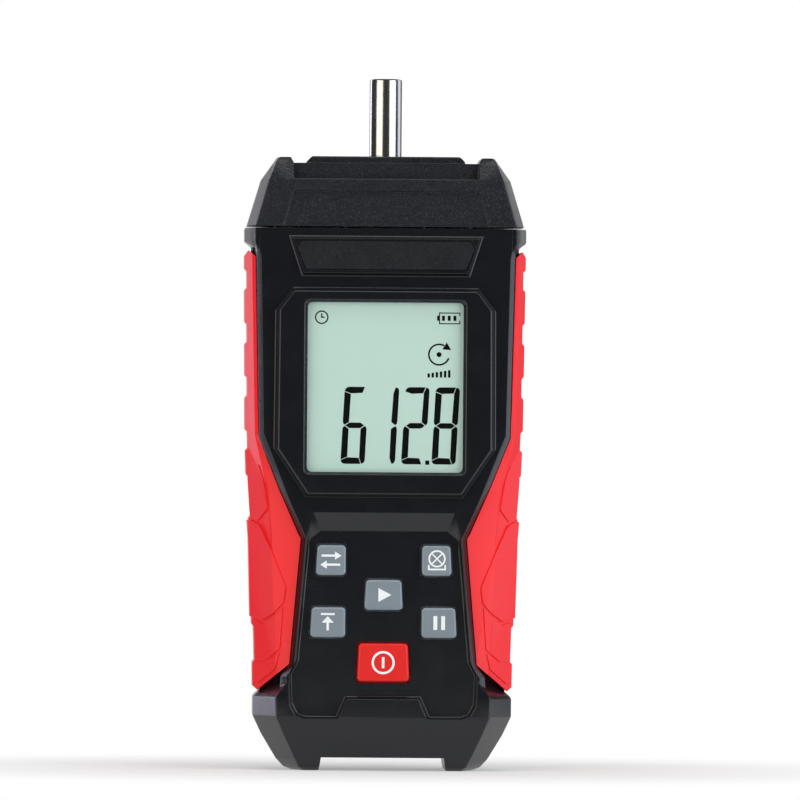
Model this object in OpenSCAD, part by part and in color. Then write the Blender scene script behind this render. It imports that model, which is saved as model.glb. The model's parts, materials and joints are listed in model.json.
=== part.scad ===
// Hand-held contact tachometer: a two-shell case with soft side grips, a nose cap that
// carries the drive shaft on two ball bearings, a slotted disc read by a light barrier,
// a display with six keys under it and three cells behind a hinged battery door.
// The frame: +Z runs up along the shaft, -Y is the display side, Z = 0 is under the feet.

/* [Case] */
// Width across the two grips at their widest
case_w = 68.8; // [68:0.2:76]
// Depth from the display bezel to the flat back
case_d = 38; // [37:0.5:44]
// Height from the feet to the seam under the nose cap
case_h = 132.4; // [130:0.2:145]
// Thickness of the moulded walls
wall = 1.8; // [1.5:0.1:2]
// Thickness of the soft side grips
grip_t = 1.6; // [1.2:0.1:2]
// Gap between fixed pieces that fit together
fit_gap = 0.1; // [0.05:0.01:0.15]
// Open seam between the case and the nose cap
seam_gap = 0.4; // [0.2:0.05:0.6]

/* [Front relief] */
// Height of the display bezel above the rim
bezel_rise = 2; // [1.4:0.1:2.4]
// Height of the brow over the display above the rim
brow_rise = 1.2; // [0.6:0.1:1.6]
// Height of the bottom bumper above the rim
bumper_rise = 1.4; // [0.8:0.1:1.8]
// Depth of the keypad floor below the rim
keypad_drop = 1.1; // [0.8:0.1:1.4]
// Depth of the groove beside the rim, where the grips start
groove_drop = 2; // [1.6:0.1:2.4]
// Width of the sloped flank of the rim
rim_flank = 1.1; // [0.8:0.1:1.4]
// Width of the sloped flanks of bezel and brow
boss_flank = 1.1; // [0.8:0.1:1.4]

/* [Display] */
// Width of the display opening
view_w = 38; // [36:0.2:38.4]
// Height of the display opening
view_h = 41.4; // [38:0.2:42]
// Thickness of the clear window
window_t = 1.2; // [1:0.1:1.3]
// Thickness of the display glass
glass_t = 2.2; // [1.8:0.1:2.4]

/* [Keys] */
// Height of the five grey keys
key_h = 7.3; // [6.6:0.1:7.4]
// Height of the power key
power_h = 9.3; // [8.4:0.1:9.4]
// Width of the power key
power_w = 12.4; // [10:0.1:13]
// Width of the centre key
test_w = 9; // [8:0.1:10]
// Width of the upper side keys
upper_w = 7.1; // [6.4:0.1:7.2]
// Width of the lower side keys
lower_w = 8.4; // [7.6:0.1:8.5]
// Distance of the side keys' inner edges from the middle
key_in_x = 9.3; // [8.8:0.1:9.4]
// Height of the keys above the keypad floor
key_proud = 1.7; // [1.2:0.1:2]
// Travel of each key
key_travel = 0.8; // [0.5:0.1:0.9]
// Gap around each key in its hole
key_gap = 0.45; // [0.3:0.05:0.5]

/* [Shaft drive] */
// Diameter of the steel drive shaft
shaft_d = 8; // [7:0.1:8.4]
// Length of shaft that stands out of the nose
shaft_out = 19.1; // [14:0.1:26]
// Height of the nose cap, from the case's top to its horns
nose_h = 17.3; // [16:0.1:20]
// Outer diameter of the ball bearings
bearing_d = 16; // [15.6:0.1:17]
// Width of the ball bearings
bearing_w = 5; // [4:0.1:5.4]
// Length over both bearings in their housing
bearing_span = 21.2; // [18:0.1:22]
// Number of balls in each bearing
ball_count = 9; // [7:1:10]
// Diameter of the slotted disc
disc_d = 22; // [20:0.5:23]
// Number of slots in the disc
disc_slots = 24; // [12:1:30]

/* [Battery] */
// Diameter of one cell
cell_d = 10.5; // [10:0.1:10.6]
// Length of one cell, with its button
cell_l = 44.5; // [40:0.1:44.6]
// Width of the battery door
door_w = 37; // [35.4:0.1:37]

/* [Fasteners] */
// Shank diameter of the case screws
screw_d = 2.6; // [2.2:0.1:3]
// Shank diameter of the small board screws
small_screw_d = 2; // [1.6:0.1:2.2]

/* [Hidden] */

$fn = 48;
hw = case_w / 2;
hd = case_d / 2;
// Overrun of cutting solids past the face that they cut
over = 1;
// Reach of cutting solids that clear the whole part
reach = case_h + nose_h + shaft_out;
black = "#1d1f22";
dark = "#26282c";
red = "#e8232b";
grey = "#78828a";
steel = "#b9bcc0";
green = "#1f6b45";

// Levels of the front, measured along Y
bezel_y = -hd;
rim_y = bezel_y + bezel_rise;
brow_y = rim_y - brow_rise;
bumper_y = rim_y - bumper_rise;
keypad_y = rim_y + keypad_drop;
groove_y = rim_y + groove_drop;
panel_y = keypad_y + wall;
panel_base_y = groove_y / 2;
split_share = 0.16;
split_y = split_share * hd;
cavity_back_y = hd - wall;

// Key stack behind the panel
key_play = 0.05;
key_flange_t = 0.7;
key_flange_w = 0.8;
key_lean = 0.2;
key_corner = 0.7;
key_chamfer = 0.4;
mat_t = 1.2;
mat_clear = 0.25;
board_t = 1.6;
key_face_y = keypad_y - key_proud;
flange_y = panel_y + key_play;
mat_y = flange_y + key_flange_t + key_travel + mat_clear;
board_y = mat_y + mat_t;
board_back_y = board_y + board_t;

// Display stack behind the bezel
bezel_lip = 0.8;
view_flank = 0.8;
view_corner = 1.2;
window_edge = 1.4;
glass_edge = 2;
connector_h = 2.4;
view_mid_share = 0.7068;
view_mid_z = view_mid_share * case_h;
window_y = bezel_y + bezel_lip + fit_gap;
glass_y = window_y + window_t + fit_gap;
glass_back_y = glass_y + glass_t;
glass_w = view_w + 2 * glass_edge;
glass_h = view_h + 2 * glass_edge;

// Envelope of the case with its grips. Each row holds the height as a share of case_h, then
// as shares of hw: the front edge beside the rim, the crease of the grip, the side and the
// back edge, then as shares of hd: the crease and the side's front edge.
envelope_shares = [
    [0.090, 0.640, 0.700, 0.850, 0.700, -0.680, -0.320],
    [0.140, 0.650, 0.735, 0.880, 0.730, -0.690, -0.320],
    [0.146, 0.660, 0.752, 0.921, 0.765, -0.705, -0.320],
    [0.196, 0.663, 0.756, 0.924, 0.770, -0.705, -0.320],
    [0.4275, 0.587, 0.797, 0.948, 0.785, -0.685, -0.260],
    [0.5175, 0.744, 0.826, 0.974, 0.799, -0.705, -0.290],
    [0.614, 0.892, 0.919, 0.988, 0.828, -0.730, -0.370],
    [0.947, 0.919, 0.951, 1.000, 0.843, -0.730, -0.420],
    [1.020, 0.926, 0.955, 1.000, 0.843, -0.730, -0.420]];
back_side_share = 0.58;

// Inner outline of a grip seen from the front: shares of hw and of case_h
grip_outline_shares = [
    [1.0400, 0.1560], [1.0400, 0.9340], [1.0000, 0.9494], [0.9740, 0.9592],
    [0.9190, 0.9470], [0.8920, 0.6140], [0.7440, 0.5175], [0.5870, 0.4275],
    [0.6630, 0.1956], [0.8870, 0.1458], [0.9215, 0.1533]];
// Notches along the side of a grip, and the lowered bands further down: lower and upper
// edge of each as shares of case_h
notch_shares = [[0.589, 0.627], [0.687, 0.727], [0.786, 0.8255], [0.886, 0.924]];
band_shares = [[0.464, 0.544], [0.197, 0.2675]];
notch_depth = 0.6;
notch_ramp = 0.5;
band_depth = 0.5;

// Bottom bumper: share of case_h, then side, front edge and back edge as shares of hw, then
// front, side front, side back and back as shares of hd
bumper_shares = [
    [0.0000, 0.637, 0.560, 0.560, -0.710, -0.250, 0.300, 0.740],
    [0.0060, 0.700, 0.590, 0.590, -0.780, -0.270, 0.400, 0.800],
    [0.0220, 0.756, 0.620, 0.640, -0.860, -0.300, 0.480, 0.880],
    [0.0660, 0.858, 0.700, 0.740, -0.950, -0.330, 0.570, 0.980],
    [0.0997, 0.919, 0.755, 0.754, -0.968, -0.340, 0.570, 0.985],
    [0.1340, 0.919, 0.762, 0.754, -0.968, -0.340, 0.570, 0.985],
    [0.1390, 0.903, 0.750, 0.750, -0.962, -0.335, 0.560, 0.980],
    [0.1870, 0.688, 0.610, 0.630, -0.840, -0.330, 0.550, 0.970]];
foot_gap_w = 30;
foot_gap_h = 3.2;
foot_gap_lean = 0.6;
floor_z = foot_gap_h + wall;

// Shoulders over the grips: share of case_h, then side and front edge as shares of hw
shoulder_shares = [[0.9580, 0.925, 0.905], [0.9750, 1.000, 0.929], [1.030, 1.000, 0.929]];
shoulder_side_y_share = -0.47;

// Raised front panel, right half of its outline from the bottom up
panel_shares = [
    [0.745, 0.110], [0.724, 0.173], [0.663, 0.196], [0.587, 0.4275], [0.744, 0.5175],
    [0.892, 0.614], [0.919, 0.947], [0.929, 0.963], [0.929, 1.040]];

// Keypad floor and the tab of the bumper that reaches into it, right halves of their outlines
// from the bottom up
keypad_shares = [
    [0.552, 0.0997], [0.608, 0.1050], [0.645, 0.1230], [0.651, 0.1780], [0.607, 0.2000],
    [0.532, 0.4245], [0.448, 0.4418]];
tab_shares = [[0.345, 0.0897], [0.265, 0.1367]];
keypad_flank = 0.5;
chin_share = [0.506, 0.479];

// Display bezel, right half of its outline from the bottom up
bezel_shares = [[0.561, 0.5015], [0.791, 0.591], [0.785, 0.851], [0.666, 0.892]];
// Brow over the display and the inlay in it, right halves from the bottom up
brow_shares = [[0.602, 0.909], [0.701, 0.9885]];
inlay_shares = [[0.573, 0.922], [0.634, 0.963], [0.605, 0.978]];
inlay_drop = 0.3;

// Nose cap: share of nose_h, then side, front edge and back edge as shares of hw, then
// front, side front, side back and back as shares of hd
nose_shares = [
    [0.00, 0.988, 0.929, 0.843, -0.905, -0.45, 0.58, 1.00],
    [0.68, 0.885, 0.832, 0.760, -0.830, -0.42, 0.50, 0.84],
    [0.92, 0.799, 0.785, 0.700, -0.740, -0.40, 0.44, 0.71],
    [1.00, 0.773, 0.756, 0.670, -0.660, -0.38, 0.40, 0.64]];
horn_top_share = 0.695;
horn_foot_share = 0.657;
horn_drop = 1.4;
nose_step_share = 0.685;
nose_step_drop = 1.2;
nose_step_y = nose_shares[2][4] * hd + nose_step_drop;
// Shallow field on the front of the nose: half width and height at its top and bottom
nose_field_shares = [[0.735, -0.01], [0.657, 0.52]];
nose_field_drop = 0.7;
plate_h = 1.7;
plate_chamfer = 1.2;
plate_share = [0.561, 0.5];

seam_z = case_h + seam_gap;
nose_top_z = case_h + nose_h;
deck_z = nose_top_z - horn_drop;
plate_z = deck_z + plate_h;
shaft_top_z = plate_z + shaft_out;

// Bearing stack in the nose cap, from the top down
shaft_r = shaft_d / 2;
press_gap = 0.02;
spin_gap = 0.05;
shaft_clear = 0.35;
collar_w = 1;
collar_h = 1;
// Depth of the neck between the collar and the bare end of the shaft
neck_drop = 0.3;
deck_t = 2;
race_t = 1.35;
ball_r = (bearing_d / 2 - shaft_r) / 4 - spin_gap;
ball_path_r = (bearing_d / 2 + shaft_r) / 2;
cage_h = 1;
housing_r = bearing_d / 2 + wall;
front_race_z = deck_z - deck_t - bearing_w;
rear_race_z = front_race_z + bearing_w - bearing_span;
sleeve_t = 1;
retainer_t = 1.5;
flange_share = 1.7;
retainer_screw_share = 0.7;
housing_flange_r = housing_r + flange_share * small_screw_d;
housing_flange_h = 4;
retainer_screw_r = housing_r + retainer_screw_share * small_screw_d;

// Slotted disc under the bearings
hub_r = shaft_r + 2 * collar_w;
hub_h = 5.6;
disc_t = 1;
hub_z = rear_race_z - fit_gap - hub_h;
disc_z = hub_z - disc_t;
shaft_end_z = disc_z - 2 * disc_t;
slot_w = 1.2;
slot_l = 3;
slot_edge = 0.8;

// Light barrier around the rim of the disc, on its board
barrier_w = 7;
barrier_arm = 2;
barrier_gap = 0.8;
barrier_reach = 3.6;
barrier_web = 1.4;
barrier_y = disc_d / 2 + barrier_gap;
sensor_board_t = 1.2;
sensor_board_w = 19;
sensor_board_h = 15;
sensor_board_y = barrier_y + barrier_web;
sensor_board_z = disc_z + disc_t / 2 - sensor_board_h + barrier_gap + 2 * barrier_arm;
sensor_screw_share = 0.36;

// Laser and light receiver on both sides of the bearing housing
optic_r = 3.2;
optic_wall = 1.4;
optic_x = housing_r + optic_r + wall / 2;
optic_window_t = 1;
optic_sight_r = 2.4;
optic_top_z = plate_z - 2 * optic_window_t - fit_gap;
laser_l = 11;
receiver_l = 8.5;

// Battery compartment with its row of cells
cell_count = 3;
cell_gap = 0.4;
cell_play = 0.3;
well_wall = 1.2;
spring_l = 2.9;
spring_r = 2.6;
spring_wire_r = 0.3;
spring_turns = 3;
contact_t = 0.3;
button_share = 0.26;
button_l = 0.9;
well_x = (cell_count * (cell_d + cell_gap) - cell_gap) / 2 + cell_play;
well_z = 21;
well_top_z = well_z + 2 * contact_t + spring_l + cell_l + cell_play;
cell_y = cavity_back_y - cell_play - cell_d / 2;
well_y = cell_y - cell_d / 2 - cell_play;

// Battery door, hinged at its foot
door_gap = 0.3;
door_t = wall;
door_swing_gap = 0.4;
door_axis_y = hd - door_t;
door_axis_z = well_z - well_wall - door_t - door_swing_gap - fit_gap;
door_pin_r = 0.9;
door_pin_l = 1.6;
door_tab = 8;
door_top_z = well_top_z + well_wall + door_tab;
door_screw_z = door_top_z - door_tab / 2;
door_screw_share = 0.85;
door_screw_d = door_screw_share * screw_d;
door_screw_l = 3;
door_screw_clear = 0.25;
ledge_t = 1.5;
ledge_w = 1;
door_lug_w = 2;

// Screws and their bosses
head_share = 0.92;
head_h_share = 0.6;
boss_wall = 1.7;
case_boss_r = screw_d / 2 + boss_wall;
case_boss_shares = [[0.700, 0.914], [0.580, 0.087]];
case_screw_l = 21;
nose_boss_shares = [[0.700, -0.47], [0.700, 0.53]];
nose_screw_l = 11;
board_boss_r = small_screw_d / 2 + boss_wall / 2;
board_screw_x = glass_w / 2 + 2 * fit_gap + board_boss_r;
board_boss_shares = [0.850, 0.575];
low_boss_share = [0.380, 0.134];
board_screw_l = 4.6;

// Main board and keypad mat, right halves of their outlines from the bottom up
board_foot_shares = [[0.545, 0.115], [0.545, 0.460]];
board_side_shares = [0.545, 0.872];
board_edge = 1.55;
mat_shares = [[0.530, 0.152], [0.548, 0.250], [0.500, 0.427]];

// Parts on the back of the board: controller, display driver, ribbon socket and crystal
chip_t = 1.6;
chip_w = 12;
driver_w = 8;
socket_w = 10;
socket_t = 3;
socket_h = 4;
crystal_r = 1.5;
crystal_l = 7;
controller_share = 0.62;
driver_share = 0.52;
socket_share = 0.78;

// Flat ribbon that hangs between the sensor board and the socket on the main board
ribbon_t = 0.5;
ribbon_w = 6;
ribbon_sag_share = 0.06;

// Centre heights of the rows of keys
key_row_shares = [0.388, 0.3245, 0.2735, 0.1998];

// Plain geometry helpers
function unit(v) = v / norm(v);
function outward(a, b) = unit([b.y - a.y, a.x - b.x]);
// Ring of points moved inwards by t, for a ring that runs counter-clockwise
function inset(pts, t) = let (n = len(pts)) [for (i = [0:n - 1])
    let (p = pts[i], n1 = outward(pts[(i + n - 1) % n], p), n2 = outward(p, pts[(i + 1) % n]))
    p - t * (n1 + n2) / (1 + n1 * n2)];
// Right half of an outline, from the bottom up, closed by its mirror image
function mirrored(pts) = concat(pts, [for (i = [len(pts) - 1:-1:0]) [-pts[i].x, pts[i].y]]);
function scaled(shares) = [for (s = shares) [s.x * hw, s.y * case_h]];
// Corners rounded to radius r with n steps each
function rounded(pts, r, n = 4) = let (m = len(pts)) [for (i = [0:m - 1])
    let (p = pts[i], u = unit(pts[(i + m - 1) % m] - p), v = unit(pts[(i + 1) % m] - p),
        half = acos(u * v) / 2, c = p + unit(u + v) * r / sin(half),
        start = p + u * r / tan(half) - c, a0 = atan2(start.y, start.x), turn = 180 - 2 * half)
    for (k = [0:n]) c + r * [cos(a0 + turn * k / n), sin(a0 + turn * k / n)]];
function box_outline(w, z0, z1) = [[-w / 2, z0], [w / 2, z0], [w / 2, z1], [-w / 2, z1]];
function around_view(grow) = box_outline(view_w + 2 * grow,
    view_mid_z - view_h / 2 - grow, view_mid_z + view_h / 2 + grow);
function at_z(pts, z) = [for (p = pts) [p.x, p.y, z]];
function at_y(pts, y) = [for (p = pts) [p.x, y, p.y]];

// Solid skinned over rings that run counter-clockwise about the direction they are stacked in,
// each with an even number of points. The two halves of a ring are cut along opposite
// diagonals, so that mirrored rings stay mirrored, and strips across it close both ends.
module skin(rings) {
    n = len(rings[0]);
    m = len(rings);
    top = (m - 1) * n;
    sides = [for (j = [0:m - 2], i = [0:n - 1])
        let (a = j * n + i, b = j * n + (i + 1) % n)
        each i < n / 2 ? [[a, a + n, b + n], [a, b + n, b]]
            : [[a, a + n, b], [b, a + n, b + n]]];
    strips = [for (i = [0:n / 2 - 2]) [i, i + 1, n - 2 - i, n - 1 - i]];
    polyhedron([for (r = rings) each r], concat(strips, sides,
        [for (s = strips) [for (k = [3:-1:0]) top + s[k]]]), convexity = 6);
}
// Outline seen from the front, from y0 back to y1
module slab(pts, y0, y1) {
    translate([0, y1, 0]) rotate([90, 0, 0]) linear_extrude(y1 - y0) polygon(pts);
}
// Profile seen from the right, points as [y, z], from x0 to x1
module bar(pts, x0, x1) {
    translate([x0, 0, 0]) rotate([90, 0, 90]) linear_extrude(x1 - x0) polygon(pts);
}
// Solid that narrows from one outline at the back to another at the front
module frustum(back, back_y, front, front_y) {
    skin([at_y(back, back_y), at_y(front, front_y)]);
}
module rod_x(y, z, r, x0, x1) {
    translate([x0, y, z]) rotate([0, 90, 0]) cylinder(r = r, h = x1 - x0);
}
module rod_y(x, z, r, y0, y1) {
    translate([x, y0, z]) rotate([-90, 0, 0]) cylinder(r = r, h = y1 - y0);
}
module rod_z(x, y, r, z0, z1) {
    translate([x, y, z0]) cylinder(r = r, h = z1 - z0);
}
module tube_z(r_out, r_in, z0, z1) {
    difference() {
        rod_z(0, 0, r_out, z0, z1);
        rod_z(0, 0, r_in, z0 - over, z1 + over);
    }
}
module block(x0, x1, y0, y1, z0, z1) {
    translate([x0, y0, z0]) cube([x1 - x0, y1 - y0, z1 - z0]);
}
// Everything in front of one depth and behind another, between two heights
module layer(y0, y1, z0, z1) {
    block(-case_w, case_w, y0, y1, z0, z1);
}
module both_sides() {
    children();
    mirror([1, 0, 0]) children();
}
// Screw with its head's seat at the origin and its shank along +Z
module screw(d, l) {
    head_h = head_h_share * d;
    slot = head_h / 3;
    difference() {
        union() {
            cylinder(d = d, h = l);
            translate([0, 0, -head_h]) cylinder(r = head_share * d, h = head_h);
        }
        for (a = [0, 90]) rotate([0, 0, a]) translate([-d / 2, -slot / 2, -head_h - over])
            cube([d, slot, over + slot]);
    }
}
module screw_y(x, y, z, d, l, back = true) {
    translate([x, y, z]) rotate([back ? 90 : -90, 0, 0]) screw(d, l);
}

// Case envelope
function envelope_section(s) = [
    [-s[1] * hw, groove_y], [s[1] * hw, groove_y], [s[2] * hw, s[5] * hd],
    [s[3] * hw, s[6] * hd], [s[3] * hw, back_side_share * hd], [s[4] * hw, hd],
    [-s[4] * hw, hd], [-s[3] * hw, back_side_share * hd], [-s[3] * hw, s[6] * hd],
    [-s[2] * hw, s[5] * hd]];
module envelope(t) {
    skin([for (s = envelope_shares) at_z(inset(envelope_section(s), t), s[0] * case_h)]);
}
// Inside of the envelope, without the grips' creases
module envelope_core(t) {
    skin([for (s = envelope_shares) at_z(inset(shell_section(s[3] * hw, s[1] * hw, s[4] * hw,
        groove_y, s[6] * hd, back_side_share * hd, hd), t), s[0] * case_h)]);
}

// Section of bumper, shoulder or nose cap: side, front and back edge, then the four depths
function shell_section(xs, xf, xb, yf, ysf, ysb, yb) = [
    [-xf, yf], [xf, yf], [xs, ysf], [xs, ysb], [xb, yb], [-xb, yb], [-xs, ysb], [-xs, ysf]];
function bumper_front(s) = bumper_y * s[4] / bumper_shares[4][4];
module bumper_form(t = 0) {
    skin([for (s = bumper_shares) at_z(inset(shell_section(s[1] * hw, s[2] * hw, s[3] * hw,
        bumper_front(s), s[5] * hd, s[6] * hd, s[7] * hd), t), s[0] * case_h)]);
}
module shoulder_form() {
    back_x = envelope_shares[8][4] * hw;
    skin([for (s = shoulder_shares) at_z(shell_section(s[1] * hw, s[2] * hw, back_x,
        rim_y + 2 * fit_gap, shoulder_side_y_share * hd, back_side_share * hd, hd),
        s[0] * case_h)]);
}

module grip_zone(t) {
    slab(inset(scaled(grip_outline_shares), t), -case_d, case_d);
}
panel_outline = mirrored(scaled(panel_shares));
keypad_outline = mirrored(scaled(keypad_shares));
keypad_grown = inset(keypad_outline, -keypad_flank);
// The recess opens wider at the rim, most of all at its top
keypad_top_z = keypad_shares[len(keypad_shares) - 1].y * case_h;
keypad_mouth = [for (i = [0:len(keypad_outline) - 1]) keypad_outline[i].y < keypad_top_z
    ? keypad_grown[i]
    : [sign(keypad_outline[i].x) * chin_share.x * hw, chin_share.y * case_h]];
tab_outline = mirrored(scaled(tab_shares));
bezel_outline = mirrored(scaled(bezel_shares));
brow_outline = mirrored(scaled(brow_shares));
inlay_outline = mirrored(scaled(inlay_shares));

// Walls that rise from an outline on the keypad floor to another at the rim and beyond
module keypad_cut(floor_outline, rim_outline) {
    skin([at_y(floor_outline, keypad_y), at_y(rim_outline, rim_y - fit_gap),
        at_y(rim_outline, bezel_y - over)]);
}
// Outer form of the two shells together
module case_form() {
    difference() {
        union() {
            envelope(grip_t + fit_gap);
            intersection() {
                envelope(0);
                slab(inset(panel_outline, fit_gap), 0, case_d);
            }
            shoulder_form();
            bumper_form();
            skin([at_y(panel_outline, panel_base_y), at_y(panel_outline, groove_y),
                at_y(inset(panel_outline, rim_flank), rim_y)]);
            frustum(bezel_outline, rim_y + over,
                inset(bezel_outline, boss_flank), bezel_y);
            frustum(brow_outline, rim_y + over, inset(brow_outline, boss_flank), brow_y);
        }
        difference() {
            keypad_cut(keypad_outline, keypad_mouth);
            keypad_cut(tab_outline, inset(tab_outline, keypad_flank));
        }
        slab(inlay_outline, brow_y - over, brow_y + inlay_drop);
        foot_gap();
        layer(-case_d, case_d, case_h, case_h + nose_h);
    }
}
module foot_gap() {
    slab([[foot_gap_w / 2 + foot_gap_lean, -over], [foot_gap_w / 2, foot_gap_h],
        [-foot_gap_w / 2, foot_gap_h], [-foot_gap_w / 2 - foot_gap_lean, -over]],
        -case_d, case_d);
}

// Space inside the two shells
module cavity_form() {
    intersection() {
        union() {
            envelope_core(grip_t + fit_gap + wall);
            slab(inset(panel_outline, wall + key_flange_w), -case_d, case_d);
            bumper_form(wall);
        }
        layer(panel_y, cavity_back_y, floor_z, case_h - wall);
    }
}
module shell_half(y0, y1) {
    intersection() {
        difference() {
            case_form();
            cavity_form();
        }
        layer(y0, y1, -over, reach);
    }
}
module housing_hole() {
    rod_z(0, 0, housing_r + door_gap, case_h - wall - over, case_h + over);
}
module at_case_bosses() {
    both_sides() for (s = case_boss_shares)
        translate([s.x * hw, 0, s.y * case_h]) children();
}
module at_nose_bosses(rows = nose_boss_shares) {
    both_sides() for (s = rows) translate([s.x * hw, s.y * hd, 0]) children();
}
module at_board_bosses() {
    both_sides() {
        for (s = board_boss_shares) translate([board_screw_x, 0, s * case_h]) children();
        translate([low_boss_share.x * hw, 0, low_boss_share.y * case_h]) children();
    }
}
module at_sensor_bosses() {
    for (side = [-1, 1]) translate([side * sensor_screw_share * sensor_board_w, 0,
        sensor_board_z + board_boss_r]) children();
}

// Key outlines, right side: inner and outer edge, centre height and height of the key
function key_outline(x0, x1, z, h, lean_in = 0) = [
    [x0 - lean_in, z - h / 2], [x1 + key_lean, z - h / 2], [x1 - key_lean, z + h / 2],
    [x0 + lean_in, z + h / 2]];
function key_z(row) = key_row_shares[row] * case_h;
upper_outline = key_outline(key_in_x, key_in_x + upper_w, key_z(0), key_h);
lower_outline = key_outline(key_in_x, key_in_x + lower_w, key_z(2), key_h);
test_outline = key_outline(-test_w / 2, test_w / 2, key_z(1), key_h, key_lean);
power_outline = key_outline(-power_w / 2, power_w / 2, key_z(3), power_h, key_lean);

module key_solid(outline, tint) {
    ring = rounded(outline, key_corner);
    color(tint) {
        slab(ring, key_face_y + key_chamfer, flange_y + key_flange_t);
        frustum(ring, key_face_y + key_chamfer,
            rounded(inset(outline, key_chamfer), key_corner), key_face_y);
        slab(rounded(inset(outline, -key_flange_w), key_corner), flange_y,
            flange_y + key_flange_t);
    }
}
module key_hole(outline) {
    slab(rounded(inset(outline, -key_gap), key_corner + key_gap), keypad_y - over,
        panel_y + over);
}

module front_case() {
    pilot_r = screw_d / 2 + fit_gap;
    inner_y = split_y - fit_gap / 2;
    color(black) difference() {
        union() {
            shell_half(-case_d, inner_y);
            at_case_bosses() rod_y(0, 0, case_boss_r, panel_y - fit_gap, inner_y);
            at_board_bosses() rod_y(0, 0, board_boss_r, panel_y - fit_gap, board_y);
        }
        both_sides() {
            key_hole(upper_outline);
            key_hole(lower_outline);
        }
        key_hole(test_outline);
        key_hole(power_outline);
        frustum(rounded(around_view(0), view_corner), bezel_y + bezel_lip,
            rounded(around_view(view_flank), view_corner), bezel_y - fit_gap);
        slab(rounded(around_view(0), view_corner), bezel_y, panel_y);
        slab(around_view(window_edge + fit_gap), bezel_y + bezel_lip, panel_y + over);
        slab(around_view(glass_edge + fit_gap), glass_y - fit_gap, panel_y + over);
        housing_hole();
        at_case_bosses() rod_y(0, 0, pilot_r, cavity_back_y - wall - case_screw_l - over,
            split_y + over);
        at_nose_bosses([nose_boss_shares[0]])
            rod_z(0, 0, pilot_r, case_h - wall - over, case_h + over);
        at_board_bosses() rod_y(0, 0, small_screw_d / 2 + fit_gap,
            board_back_y - board_screw_l - fit_gap, board_y + over);
    }
}

module rear_case() {
    pilot_r = screw_d / 2 + fit_gap;
    inner_y = split_y + fit_gap / 2;
    seat_y = cavity_back_y - fit_gap;
    opening_x = door_w / 2 + door_gap;
    color(black) difference() {
        union() {
            shell_half(inner_y, case_d);
            at_case_bosses() rod_y(0, 0, case_boss_r, inner_y, cavity_back_y + fit_gap);
            block(-well_x - well_wall, well_x + well_wall, well_y - well_wall, seat_y,
                well_z - well_wall, well_top_z + well_wall);
            block(-opening_x - door_lug_w, opening_x + door_lug_w, seat_y - ledge_t,
                cavity_back_y + fit_gap, door_axis_z - door_t - door_swing_gap - ledge_w,
                door_top_z + door_gap + ledge_w);
            both_sides() rod_x(door_axis_y, door_axis_z, door_t - fit_gap, opening_x,
                opening_x + door_lug_w);
            rod_y(0, door_screw_z, screw_d / 2 + boss_wall,
                door_axis_y - door_screw_l - wall, seat_y);
            at_sensor_bosses() rod_y(0, 0, board_boss_r, sensor_board_y + sensor_board_t,
                cavity_back_y + fit_gap);
        }
        block(-well_x, well_x, well_y, hd + over, well_z, well_top_z);
        block(-opening_x, opening_x, seat_y, hd + over, door_axis_z, door_top_z + door_gap);
        rod_x(door_axis_y, door_axis_z, door_t + door_swing_gap, -opening_x, opening_x);
        rod_x(door_axis_y, door_axis_z, door_pin_r + spin_gap, -opening_x - door_pin_l,
            opening_x + door_pin_l);
        rod_y(0, door_screw_z, door_screw_d / 2 + door_screw_clear,
            door_axis_y - door_screw_l - fit_gap, hd);
        housing_hole();
        at_case_bosses() {
            rod_y(0, 0, pilot_r, split_y - over, hd + over);
            rod_y(0, 0, head_share * screw_d + fit_gap, cavity_back_y - wall, hd + over);
        }
        at_nose_bosses([nose_boss_shares[1]])
            rod_z(0, 0, pilot_r, case_h - wall - over, case_h + over);
        at_sensor_bosses() rod_y(0, 0, small_screw_d / 2 + fit_gap, sensor_board_y,
            cavity_back_y);
    }
}

function nose_z(share) = case_h + share * nose_h;
module nose_form(t = 0) {
    skin([for (s = nose_shares) at_z(inset(shell_section(s[1] * hw, s[2] * hw, s[3] * hw,
        s[4] * hd, s[5] * hd, s[6] * hd, s[7] * hd), t), nose_z(s[0]))]);
}
// Nose shell with its horns, the step and the shallow field on its front
module nose_shell() {
    difference() {
        nose_form();
        layer(-case_d, case_d, case_h - over, seam_z);
        slab([[-horn_foot_share * hw, deck_z], [horn_foot_share * hw, deck_z],
            [horn_top_share * hw, nose_top_z + over],
            [-horn_top_share * hw, nose_top_z + over]], -case_d, case_d);
        block(-horn_foot_share * hw, horn_foot_share * hw, -case_d, nose_step_y,
            nose_z(nose_step_share), reach);
        intersection() {
            slab(mirrored([for (s = nose_field_shares) [s.x * hw, nose_z(s.y)]]), -case_d, 0);
            difference() {
                layer(-case_d, 0, case_h, nose_top_z);
                nose_form(nose_field_drop);
            }
        }
        intersection() {
            nose_form(wall);
            layer(-case_d, case_d, case_h, deck_z - deck_t);
            union() {
                layer(-case_d, case_d, case_h, nose_z(nose_step_share) - wall);
                layer(nose_step_y + wall, case_d, case_h, deck_z);
            }
        }
    }
}
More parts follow.
